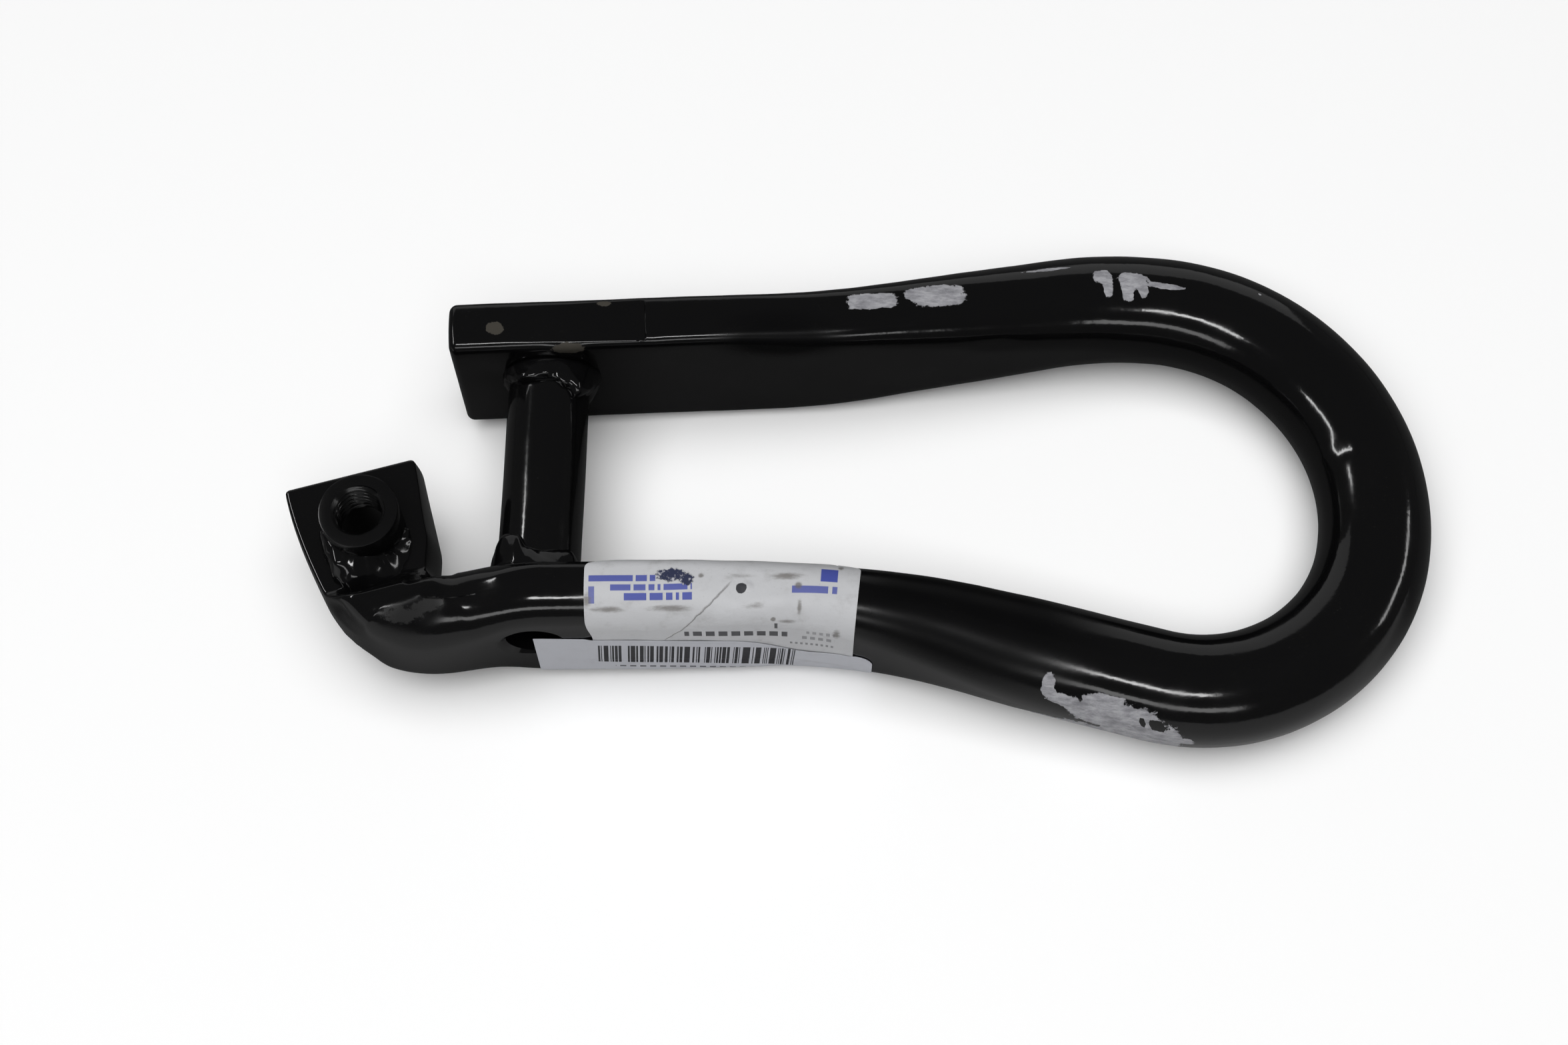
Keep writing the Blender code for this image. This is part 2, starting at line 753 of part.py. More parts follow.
table = bpy.data.objects.new("table_rest", None)
bpy.context.collection.objects.link(table)
table.matrix_world = resting_place()
for piece in list(bpy.data.objects):
    if piece is not table:
        piece.parent = table
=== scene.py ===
import math

import bpy
import numpy as np
from mathutils import Matrix, Vector


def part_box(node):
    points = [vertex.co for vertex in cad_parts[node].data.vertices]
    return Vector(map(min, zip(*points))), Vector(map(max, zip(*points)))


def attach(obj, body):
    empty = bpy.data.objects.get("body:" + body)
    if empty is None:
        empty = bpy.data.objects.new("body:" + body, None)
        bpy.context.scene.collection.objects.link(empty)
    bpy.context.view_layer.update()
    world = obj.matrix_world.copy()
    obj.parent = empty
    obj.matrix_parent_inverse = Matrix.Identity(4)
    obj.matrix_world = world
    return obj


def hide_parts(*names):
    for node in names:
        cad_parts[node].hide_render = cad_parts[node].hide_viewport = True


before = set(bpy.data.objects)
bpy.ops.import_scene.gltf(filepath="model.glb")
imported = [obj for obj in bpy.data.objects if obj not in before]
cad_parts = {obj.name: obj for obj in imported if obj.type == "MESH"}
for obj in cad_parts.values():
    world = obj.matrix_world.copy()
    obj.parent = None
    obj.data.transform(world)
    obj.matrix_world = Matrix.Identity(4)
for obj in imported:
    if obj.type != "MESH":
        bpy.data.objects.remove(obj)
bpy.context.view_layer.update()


# Hook bar: the loop
# The real piece is one bar of steel, one inch round, bent hot to a teardrop loop. Both legs are pressed
# flat between dies, and the end of the lower leg is bent round and flattened the other way into a paddle.
# Sizes are in millimetres in the plane of the loop: x to the nose, y to the upper leg, z to the front.
bar_diameter = 25.4
upper_end = (-167.8, 38.1)
upper_leg_splay = 0.9
loop_runs = [
    (75.3, 0.0),
    (176.0, 7.6),
    (43.6, 0.0),
    (94.0, -15.1),
    (52.4, -98.0),
    (42.1, -92.0),
    (40.3, 0.0),
    (186.0, 15.5),
    (53.5, 0.0),
    (60.0, 9.5),
    (2.5, 0.0),
]
upper_leg_thickness = 13.0
upper_leg_depth = 39.6
lower_leg_thickness = 14.6
lower_leg_depth = 36.0
leg_crown = 1.0
least_flat = 0.15
least_corner = 0.3
upper_leg_section = (upper_leg_thickness / 2.0, upper_leg_depth / 2.0 - leg_crown, 2.2, leg_crown, 0.0)
lower_leg_section = (lower_leg_thickness / 2.0, lower_leg_depth / 2.0 - leg_crown, 2.8, leg_crown, 0.0)
round_section = (bar_diameter / 2.0, bar_diameter / 2.0, bar_diameter / 2.0 - least_flat, 0.0, 0.0)
# Where the pressed sections go over to round bar: lengths from the upper cut end, and back from the bend
upper_press = (60.4, 173.0)
lower_press = (67.0, 137.0)
lower_corner_length = 40.0
bend_swell_length = 18.0
bend_inner_radius = 3.1
bend_width = 16.7
bend_widening = 0.67
bend_depth = 30.7
bend_corner = 7.5
paddle_lean = 14.2
paddle_length = 28.0
paddle_width = 31.8
paddle_thickness = 16.1
paddle_corner = 1.1
paddle_bulge = 0.6
paddle_corner_start = 0.72
# The press's edge, measured past the bend's pivot, and the share of the bend's turn in which it sets in
paddle_press = (-5.5, 1.0)
press_growth = 0.3
paddle_side_draft = 1.7
paddle_draft_fall = 0.7
paddle_waist = 2.0
paddle_waist_length = 10.0
# Spans of growth are shares of the bend's turn. The ledge rises over a span of heights off the middle.
waist_growth = (0.5, 0.9)
ledge_growth = (0.6, 0.9)
ledge_width = 2.0
ledge_rise = (5.0, 10.0)
cut_round = 2.0
paddle_cut_round = 0.9
cut_crown = 0.8
relief_length = 45.3
relief_start = 0.1
relief_slope = 0.75
relief_lean = 0.45
relief_step = 0.9
relief_clear = 2.4
# The round shoulder along the front of the lower leg: its radius, what the bend adds to it, and the spans
# over which each comes and goes, as lengths past the loop's end
shoulder = 8.5
bend_shoulder = 6.5
shoulder_growth = (-80.0, -45.0)
shoulder_onset = 4.0
bend_shoulder_growth = (-12.0, 18.0)
bend_shoulder_fall = (18.0, 34.0)
shoulder_fall = (28.0, 42.0)
least_radius = 0.01
run_lengths = [size if turn == 0.0 else size * math.radians(abs(turn)) for size, turn in loop_runs]
loop_length = sum(run_lengths)


def ease(t):
    """Smooth step from 0 to 1, level at both ends."""
    t = np.clip(t, 0.0, 1.0)
    return t * t * (3.0 - 2.0 * t)


def rise(value, start, end):
    """Smooth step from 0 at start to 1 at end."""
    return ease((value - start) / (end - start))


def go(size, turn, x, y, heading, part):
    """Place and heading after a part of one run: a straight, or an arc that turns left or right."""
    if turn == 0.0:
        return x + part * np.cos(heading), y + part * np.sin(heading), heading + 0.0 * part
    side = math.copysign(1.0, turn)
    new = heading + side * part / size
    x = x + side * size * (np.sin(new) - np.sin(heading))
    y = y - side * size * (np.cos(new) - np.cos(heading))
    return x, y, new


def along_loop(s):
    """Places and headings of the centreline at the lengths s, counted from the upper leg's cut end."""
    place = np.zeros((3, len(s)))
    start, at = (*upper_end, math.radians(upper_leg_splay)), 0.0
    for (size, turn), length in zip(loop_runs, run_lengths):
        here = s >= at
        place[:, here] = np.array(go(size, turn, *start, s[here] - at))
        start = go(size, turn, *start, length)
        at += length
    return place


def mixed(a, b, share):
    """Sections between two sections (half width, half depth, corner, crown, bulge), one for each share."""
    a, b = np.array(a), np.array(b)
    a = a[:, None] if a.ndim == 1 else a
    b = b[:, None] if b.ndim == 1 else b
    return a + (b - a) * share


def loop_rows(s):
    """Rows of the loop at the lengths s: x, y, heading, the five of the section, and the length."""
    back = loop_length - s
    upper = mixed(upper_leg_section, round_section, rise(s, *upper_press))
    lower = mixed(lower_leg_section, round_section, rise(back, *lower_press))
    corner = mixed(lower_leg_section, round_section, rise(back, lower_corner_length, lower_press[1]))[2]
    lower[2] = np.minimum(corner, lower[0] - least_flat)
    bend = (bend_width / 2.0, bend_depth / 2.0, bend_corner, 0.0, 0.0)
    lower = mixed(bend, lower, ease(back / bend_swell_length))
    section = np.where(s < back, upper, lower)
    return np.vstack([along_loop(s), section, s])


loop_end = along_loop(np.array([loop_length]))[:, 0]
bend_turn = loop_end[2] - (math.radians(90.0 + paddle_lean) - 2.0 * math.pi)
bend_reach = bend_width / 2.0 + bend_inner_radius
bend_pivot = loop_end[:2] + bend_reach * np.array([math.sin(loop_end[2]), -math.cos(loop_end[2])])


def plate_width(share):
    """Width in the plane of the loop, from the start of the bend at 0 to the paddle's cut end at 1."""
    return bend_width + (paddle_width - bend_width) * ease(share)


bend_outer_length = bend_turn * (bend_inner_radius + plate_width(bend_widening))


def plate_section(half, share):
    """Sections in the bend and on the paddle before the press: corners tighten, free sides bulge."""
    tight = ease((share - paddle_corner_start) / (1.0 - paddle_corner_start))
    corner = bend_corner + (paddle_corner - bend_corner) * tight
    return np.stack([half - paddle_bulge * tight, bend_depth / 2.0 + 0.0 * tight, corner, 0.0 * tight,
                     paddle_bulge * tight])


def bend_rows(share):
    """Rows of the bend, fanned out round its pivot at shares of its turn."""
    heading = loop_end[2] - bend_turn * share
    half = plate_width(bend_widening * share) / 2.0
    reach = half + bend_inner_radius
    x = bend_pivot[0] - reach * np.sin(heading)
    y = bend_pivot[1] + reach * np.cos(heading)
    return np.vstack([x, y, heading, plate_section(half, share), loop_length + share * bend_outer_length])


def paddle_rows(distance):
    """Rows of the paddle at distances from the bend's end, measured along its straight inner side."""
    x, y, heading = bend_rows(np.array([1.0]))[:3, 0]
    half = plate_width(bend_widening + (1.0 - bend_widening) * distance / paddle_length) / 2.0
    grown = half - plate_width(bend_widening) / 2.0
    x = x + distance * np.cos(heading) - grown * np.sin(heading)
    y = y + distance * np.sin(heading) + grown * np.cos(heading)
    section = plate_section(half, 1.0 + 0.0 * distance)
    return np.vstack([x, y, heading + 0.0 * distance, section, loop_length + bend_outer_length + distance])


def pressed(points, heading, share, outer):
    """Points of the bend and the paddle after the press.

    The die's edge is straight across the plate. Beyond it the depth falls from the bend's to the paddle's.
    Short of it the metal keeps its depth, and the flattened plate stands out as a ledge round the outer
    side. The plate's inner side slopes in to the front, and has a slight waist next to the bend.
    """
    x, y, z = np.moveaxis(points, -1, 0)
    way = loop_end[2] - bend_turn
    beyond = (x - bend_pivot[0]) * math.cos(way) + (y - bend_pivot[1]) * math.sin(way)
    fall = rise(beyond, *paddle_press) * rise(share, 0.0, press_growth)
    ledge = ledge_width * rise(share, *ledge_growth) * (1.0 - fall) * rise(np.abs(z), *ledge_rise)
    waist = paddle_waist * rise(share, *waist_growth) * (1.0 - rise(beyond, 0.0, paddle_waist_length))
    draft = paddle_side_draft * fall * (0.5 + z / bend_depth)
    draft = draft * (1.0 - paddle_draft_fall * rise(beyond, paddle_waist_length, paddle_length))
    inset = outer * ledge - (1.0 - outer) * (waist + draft)
    x = x + inset * np.sin(heading)
    y = y - inset * np.cos(heading)
    return np.stack([x, y, z * (1.0 + (paddle_thickness / bend_depth - 1.0) * fall)], axis=-1)


# Rings of a cut end's face, as shares of its size, and the angles round its rim
face_rings = (0.03, 0.3, 0.6, 0.85)
rim_turns = np.radians(np.linspace(0.0, 80.0, 9))


def end_rows(row, outwards, rim):
    """Rows of a cut end, from the middle of its face to the body: a crowned face, then a rounded rim."""
    share, turn = np.array(face_rings), rim_turns
    x, y, heading, half, depth, corner, crown, bulge, length = row
    face = np.array([half, depth]) - rim
    inset = rim * (1.0 - np.sin(turn))
    halves = np.concatenate([face[0] * share, half - inset])
    depths = np.concatenate([face[1] * share, depth - inset])
    face_corner = max(corner - rim, least_corner)
    corners = np.concatenate([face_corner * share, np.maximum(corner - inset, least_corner)])
    way = outwards * np.concatenate([rim + cut_crown * (1.0 - share ** 2), rim * np.cos(turn)])
    one = np.ones_like(way)
    return np.stack([x + way * math.cos(heading), y + way * math.sin(heading), heading * one, halves,
                     depths, corners, crown * one, bulge * one, length + way])


def spread(start, end, step):
    """Evenly spaced values from start to end, at most a step apart."""
    return np.linspace(start, end, max(2, math.ceil((end - start) / step) + 1))


# Columns of a quarter of a section, from the middle of a flat: half the flat, a corner, half the front
flat_steps, corner_steps, front_steps = 7, 11, 5
quarter_flat = np.concatenate([np.linspace(0.0, 1.0, flat_steps + 1), np.ones(corner_steps + front_steps)])
quarter_turn = np.concatenate([
    np.zeros(flat_steps),
    np.linspace(0.0, math.pi / 2.0, corner_steps + 1),
    np.full(front_steps, math.pi / 2.0),
])
quarter_front = np.concatenate([
    np.zeros(flat_steps + corner_steps),
    np.linspace(0.0, 1.0, front_steps + 1),
])


def shoulder_radius(length):
    """Radius of the round shoulder at a length along the bar; next to nothing where there is none."""
    bent = length - loop_length
    start = shoulder_growth[0]
    radius = shoulder * rise(bent, *shoulder_growth) * rise(bent, start, start + shoulder_onset)
    in_bend = rise(bent, *bend_shoulder_growth) * (1.0 - rise(bent, *bend_shoulder_fall))
    radius = radius + bend_shoulder * in_bend
    return radius - shoulder * rise(bent, *shoulder_fall) + least_radius


def relief_plane(length, across_share):
    """Height of the plane pressed into the upper leg's front: it slopes along and across, then steps up."""
    height = upper_leg_depth / 2.0 + relief_start - relief_slope * np.clip(length / relief_length, 0.0, 1.0)
    height = height - relief_lean * (1.0 - across_share) / 2.0
    return height + relief_clear * rise(length, relief_length, relief_length + relief_step)


def skin_point(rows, flat, turn, front, across_side, up_side, lift):
    """Points of the bar's surface in the frame of the loop.

    Rows give the sections. The next three say where in a quarter of the section: how far along the flat,
    round the corner and across the front. The two sides choose the quarter. The relief cuts the front of the
    upper leg, and the round shoulder the outer front corner of the lower leg: what stands past its circle is
    pulled on to it. Lift moves the point off the surface.
    """
    x, y, heading, half, depth, corner, crown, bulge, length = rows
    across = (1.0 - front) * (half - corner) + corner * np.cos(turn)
    up = flat * (depth - corner) + corner * np.sin(turn)
    crowned = up + crown * (1.0 - (across / half) ** 2) * up / depth
    relief = relief_plane(length, across_side * across / half)
    crowned = np.where(up_side > 0.0, np.minimum(crowned, relief), crowned)
    across = across + bulge * (1.0 - (up / depth) ** 2) * across / half
    radius = shoulder_radius(length)
    off_across = across - (half - radius)
    off_up = crowned - (depth + crown * (1.0 - (1.0 - radius / half) ** 2) - radius)
    reach = np.maximum(np.hypot(off_across, off_up), least_radius / 10.0)
    cut = (off_across > 0.0) & (off_up > 0.0) & (reach > radius) & (up_side > 0.0) & (across_side > 0.0)
    pull = np.where(cut, radius / reach, 1.0)
    across = across + off_across * (pull - 1.0) + lift * np.where(cut, off_across / reach, np.cos(turn))
    crowned = crowned + off_up * (pull - 1.0) + lift * np.where(cut, off_up / reach, np.sin(turn))
    across = across * across_side
    points = [x - across * np.sin(heading), y + across * np.cos(heading), crowned * up_side + 0.0 * x]
    return np.stack(points, axis=-1)


def forged(points):
    """Depth of the shallow waves that hot forging leaves, as sines of the place that cross each other.

    Each divisor is a wave's length over two pi, in millimetres.
    """
    x, y, z = np.moveaxis(points, -1, 0)
    wave = np.sin(x / 6.1 + 1.4 * np.sin(y / 8.3)) * np.sin(z / 4.7 + y / 9.1)
    wave += 0.6 * np.sin(x / 2.9 + y / 3.7) * np.sin(z / 3.1 - x / 5.3)
    return forging_depth * (1.0 + wave / 1.6) / 2.0


# Knocks in the forging: length, distance round, radius along, radius round, depth
knocks = [
    (232.0, 27.5, 3.4, 3.0, 0.7),
    (245.0, 23.5, 2.0, 1.6, 0.3),
    (126.0, 35.0, 5.0, 1.6, 0.35),
    (27.0, 29.5, 4.5, 1.3, 0.35),
    (9.0, 41.0, 3.5, 3.0, 0.2),
    (477.5, 22.0, 4.0, 3.0, 0.4),
    (472.0, 25.0, 2.0, 2.0, -0.3),
    (47.4, 25.0, 1.3, 4.0, 0.4),
]
forging_depth = 0.14
# Steps between rows: along the loop, next to the bend, and as a share of the bend's turn
loop_step = 1.1
end_step = 0.7
turn_step = 0.011


def bar_grid():
    """All rows of the bar as points, with the length and the distance round of each."""
    loop = np.concatenate([
        spread(cut_round, relief_length, loop_step),
        relief_length + relief_step * np.linspace(0.2, 0.8, 4),
        spread(relief_length + relief_step, loop_length - bend_swell_length, loop_step),
        spread(loop_length - bend_swell_length, loop_length, end_step)[1:],
    ])
    body = np.hstack([
        loop_rows(loop),
        bend_rows(spread(0.0, 1.0, turn_step)[1:]),
        paddle_rows(spread(0.0, paddle_length - paddle_cut_round, end_step)[1:]),
    ])
    upper_cut = end_rows(body[:, 0], -1.0, cut_round)
    paddle_cut = end_rows(body[:, -1], 1.0, paddle_cut_round)[:, ::-1]
    rows = np.hstack([upper_cut, body, paddle_cut])
    quarters = [(-1.0, -1.0, 1), (1.0, -1.0, -1), (1.0, 1.0, 1), (-1.0, 1.0, -1)]
    columns = [[], [], [], [], []]
    for across_side, up_side, order in quarters:
        quarter = [quarter_flat[::order], quarter_turn[::order], quarter_front[::order]]
        skip = 0 if not columns[0] else 1
        for column, values in zip(columns, quarter):
            column.append(values[skip:])
        columns[3].append(np.full(len(quarter_flat) - skip, across_side))
        columns[4].append(np.full(len(quarter_flat) - skip, up_side))
    flat, turn, front, across_side, up_side = (np.concatenate(column)[None, :] for column in columns)
    rows = rows[:, :, None]
    half, depth, corner, length = rows[3], rows[4], rows[5], rows[8]
    distance = flat * (depth - corner) + corner * turn + front * (half - corner)
    quarter_length = depth - corner + corner * math.pi / 2.0 + half - corner
    distance = up_side * np.where(across_side > 0.0, distance, 2.0 * quarter_length - distance)
    length = length + 0.0 * distance
    low = forged(skin_point(rows, flat, turn, front, across_side, up_side, 0.0))
    for at, round_, along, around, depth in knocks:
        low = low + depth * np.exp(-((length - at) / along) ** 2 - ((distance - round_) / around) ** 2)
    points = skin_point(rows, flat, turn, front, across_side, up_side, -low)
    bent = len(loop) + upper_cut.shape[1]
    share = (length[bent:] - loop_length) / bend_outer_length
    outer = ease(1.0 + across_side * (1.0 - front))
    points[bent:] = pressed(points[bent:], rows[2][bent:], share, outer)
    return points, length, distance


def grid_quads(rows, columns):
    """Corner numbers of the quads of a grid of vertices, row by row."""
    first = (np.arange(rows - 1)[:, None] * columns + np.arange(columns - 1)[None, :]).reshape(-1, 1)
    return first + np.array([0, 1, columns + 1, columns])


# How the hook lies on its table: the nose and both legs touch it
rest_span_along = 150.0
rest_span_across = 66.0
pitch = math.atan2((upper_leg_depth - bar_diameter) / 2.0, rest_span_along)
roll = math.atan2((upper_leg_depth - lower_leg_depth) / 2.0, rest_span_across)
lie = np.array(Matrix.Rotation(pitch, 3, "Y") @ Matrix.Rotation(roll, 3, "X"))


def laid(points):
    """Points of the loop's frame in millimetres, as metres where the hook lies."""
    return (points @ lie.T + lie_shift) * 0.001


def surface(name, points, faces, places=None):
    """A smooth mesh piece. places is the length and distance round of each face corner, for its material."""
    mesh = bpy.data.meshes.new(name)
    mesh.from_pydata(laid(points), [], faces)
    if places is not None:
        layer = mesh.uv_layers.new(name="place")
        layer.data.foreach_set("uv", places.astype(np.float32).ravel())
    mesh.shade_smooth()
    item = bpy.data.objects.new(name, mesh)
    bpy.context.scene.collection.objects.link(item)
    return item


def dress(item, material, body_slot, *nodes):
    """Give a piece its material, fix it to the hook and let it stand for its CAD nodes."""
    item.data.materials.clear()
    item.data.materials.append(material)
    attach(item, "root")
    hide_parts(*nodes)


bar_points, bar_length, bar_distance = bar_grid()
turned_points = bar_points.reshape(-1, 3) @ lie.T
box_low, box_high = (np.array(corner) * 1000.0 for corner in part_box("hook_bar"))
lie_shift = (box_low + box_high - turned_points.min(axis=0) - turned_points.max(axis=0)) / 2.0


# Length and distance round given to the faces in the middle of both ends, away from every mark
end_place = (0.0, 60.0)


def make_bar():
    """The bar as one closed mesh: a grid of quads round it, and a small face in the middle of each end."""
    rows, columns = bar_length.shape
    around = columns - 1
    quads = grid_quads(rows, columns)
    places = np.stack([bar_length, bar_distance], axis=-1).reshape(-1, 2)[quads].reshape(-1, 2)
    shared = (quads // columns) * around + (quads % columns) % around
    ends = [list(range(around))[::-1], list(range((rows - 1) * around, rows * around))]
    faces = shared.tolist() + ends
    places = np.vstack([places, np.repeat([end_place], 2 * around, axis=0)])
    return surface("forged_bar", bar_points[:, :-1].reshape(-1, 3), faces, places)


# Hook bar: the drilled holes
# Two bolts of 12 mm hold the real hook. One goes through the upper leg, the sleeve and the lower leg, the
# other through the paddle and its nut. The holes are drilled and their rims are broken with a countersink.
bolt_hole_radius = 6.5
bolt_from_bend = 15.7
bolt_lean = 2.2
bolt_height = 2.4
nut_from_cut = 14.6
rim_break = 0.6
drill_reach = 4.0
drill_steps = 72
sharp_edge = 38.0


def bolt_frame():
    """Axes of the bolt line: the origin in the lower leg, the third axis towards the upper leg."""
    x, y, _ = along_loop(np.array([loop_length - bolt_from_bend]))[:, 0]
    place = Matrix.Translation((x, y, bolt_height)) @ Matrix.Rotation(-math.radians(bolt_lean), 4, "Z")
    return np.array(place @ Matrix.Rotation(-math.pi / 2.0, 4, "X"))


def nut_frame():
    """Axes of the nut: the origin on the paddle's front face, the third axis along the nut."""
    x, y, heading = paddle_rows(np.array([paddle_length - nut_from_cut]))[:3, 0]
    place = Matrix.Translation((x, y, paddle_thickness / 2.0))
    return np.array(place @ Matrix.Rotation(heading - math.pi / 2.0, 4, "Z"))


def placed(points, place):
    """Points moved into a frame of the loop."""
    return points @ place[:3, :3].T + place[:3, 3]


bolt_place = bolt_frame()
nut_place = nut_frame()
upper_splay = math.radians(upper_leg_splay)
upper_normal = np.array([-math.sin(upper_splay), math.cos(upper_splay), 0.0])
upper_start = np.array([*upper_end, bolt_height])
bolt_span = (upper_start - bolt_place[:3, 3]) @ upper_normal / (bolt_place[:3, 2] @ upper_normal)


def turned(profile, steps, place):
    """An open profile of (radius, height) turned round the third axis, as points, quads and end faces."""
    radius, height = np.array(profile).T
    angle = np.arange(steps)[:, None] * 2.0 * math.pi / steps
    grid = np.stack([np.cos(angle) * radius, np.sin(angle) * radius, height + 0.0 * angle], axis=-1)
    count = len(profile)
    quads = grid_quads(steps + 1, count) % (steps * count)
    ends = [list(range(0, steps * count, count))[::-1], list(range(count - 1, steps * count, count))]
    return placed(grid.reshape(-1, 3), place), quads[:, ::-1].tolist() + ends


def drill(profile, place):
    """A hidden solid to cut a hole with."""
    return surface("drill", *turned(profile, drill_steps, place))


def flared(end, outwards):
    """Profile of a drill at a surface at the height end: it widens just below it and goes on past it."""
    heights = [end - outwards * rim_break, end + outwards * drill_reach]
    return [(bolt_hole_radius, heights[0]), (bolt_hole_radius + rim_break + drill_reach, heights[1])]


def cut_holes(bar):
    """Cut the holes and keep the result as a plain mesh, without the cutters."""
    low, high = -lower_leg_thickness / 2.0, bolt_span + upper_leg_thickness / 2.0
    back = -paddle_thickness
    cutters = [
        drill(flared(low, -1.0)[::-1] + flared(high, 1.0), bolt_place),
        drill(flared(back, -1.0)[::-1] + [(bolt_hole_radius, drill_reach)], nut_place),
    ]
    for cutter in cutters:
        step = bar.modifiers.new("hole", "BOOLEAN")
        step.operation = "DIFFERENCE"
        step.solver = "EXACT"
        step.object = cutter
    graph = bpy.context.evaluated_depsgraph_get()
    mesh = bpy.data.meshes.new_from_object(bar.evaluated_get(graph))
    bar.modifiers.clear()
    bar.data = mesh
    mesh.set_sharp_from_angle(angle=math.radians(sharp_edge))
    for cutter in cutters:
        bpy.data.objects.remove(cutter, do_unlink=True)


# Hook bar: the black coat and what marks it
# The real coat is black gloss paint over the forging's skin, with dust on it, a few chips down to the
# primer, a scuffed patch on the bend, and torn white rests of tape. Each mark is given where it sits.
# Marks: length along the bar, distance round it, radius along, radius round. In the lists named lower, the
# length is counted back from the bend.
rests = [
    (98.6, 21.6, 6.6, 2.3),
    (108.0, 20.6, 1.6, 1.8),
    (114.2, 21.2, 6.8, 3.2),
    (153.6, 18.4, 2.6, 2.0),
    (154.6, 21.4, 1.2, 2.6),
    (160.6, 19.4, 3.6, 2.6),
    (159.4, 22.6, 1.4, 2.4),
    (163.2, 21.8, 1.0, 2.2),
    (168.6, 20.4, 5.0, 0.9),
    (140.0, 15.2, 8.0, 0.6),
    (189.0, 15.0, 0.9, 0.7),
]
lower_rests = [
    (133.4, 9.5, 1.6, 3.2),
    (137.2, 6.4, 4.2, 1.8),
    (142.5, 4.4, 4.0, 3.0),
    (146.5, 5.6, 6.0, 5.6),
    (153.0, 3.0, 7.5, 7.0),
    (158.5, -1.0, 5.0, 8.0),
    (163.5, 1.0, 3.0, 1.2),
    (146.0, -6.0, 12.0, 6.0),
    (134.0, -4.2, 7.0, 1.0),
]
# Small gaps in the rests, down to the black
lower_gaps = [
    (155.4, 6.0, 0.5, 0.9),
    (158.4, 5.6, 1.4, 0.45),
]
# Places where dust takes the coat's gloss
dulls = [
    (76.0, 31.0, 19.0, 9.0),
]
lower_dulls = [
    (113.0, 22.0, 38.0, 24.0),
    (-20.0, 18.0, 14.0, 9.0),
]
# Chips down to the primer, and the scuffs on the bend
chips = [
    (10.8, 25.6, 2.5, 2.0),
    (36.0, 20.0, 2.0, 0.9),
    (27.5, 31.4, 4.4, 2.0),
]
lower_scuffs = [
    (-24.0, 17.0, 8.0, 3.4),
    (-17.0, 20.0, 9.0, 2.8),
]


def spots(length, distance, marks, from_bend, power=2.0):
    """Field of a list of marks: 1 in the middle of one, 0 on its edge. Power 2 makes ovals, 4 squarer."""
    field = np.full(len(length), -1.0)
    if from_bend:
        length = loop_length - length
    for at, round_, along, around in marks:
        off = np.abs((length - at) / along) ** power + np.abs((distance - round_) / around) ** power
        field = np.maximum(field, 1.0 - off ** (1.0 / power))
    return field


def place_map(mesh):
    """Length and distance round of each face corner."""
    places = np.zeros(2 * len(mesh.loops), dtype=np.float32)
    mesh.uv_layers["place"].data.foreach_get("uv", places)
    return places.reshape(-1, 2).T.astype(float)


def store(mesh, fields):
    """Keep named fields on the face corners, for the material."""
    for name, values in fields.items():
        layer = mesh.attributes.new(name, "FLOAT", "CORNER")
        layer.data.foreach_set("value", values.astype(np.float32))


def mark_bar(mesh):
    """Work out the fields of the marks from the place map, and keep them."""
    length, distance = place_map(mesh)
    upper_rest = spots(length, distance, rests, False, 4.0)
    rest = np.maximum(upper_rest, spots(length, distance, lower_rests, True, 3.0))
    upper_dull = spots(length, distance, dulls, False)
    store(mesh, {
        "rest": np.minimum(rest, -2.0 * spots(length, distance, lower_gaps, True)),
        "dull": np.maximum(upper_dull, spots(length, distance, lower_dulls, True)),
        "scuff": spots(length, distance, lower_scuffs, True),
        "chip": spots(length, distance, chips, False),
    })


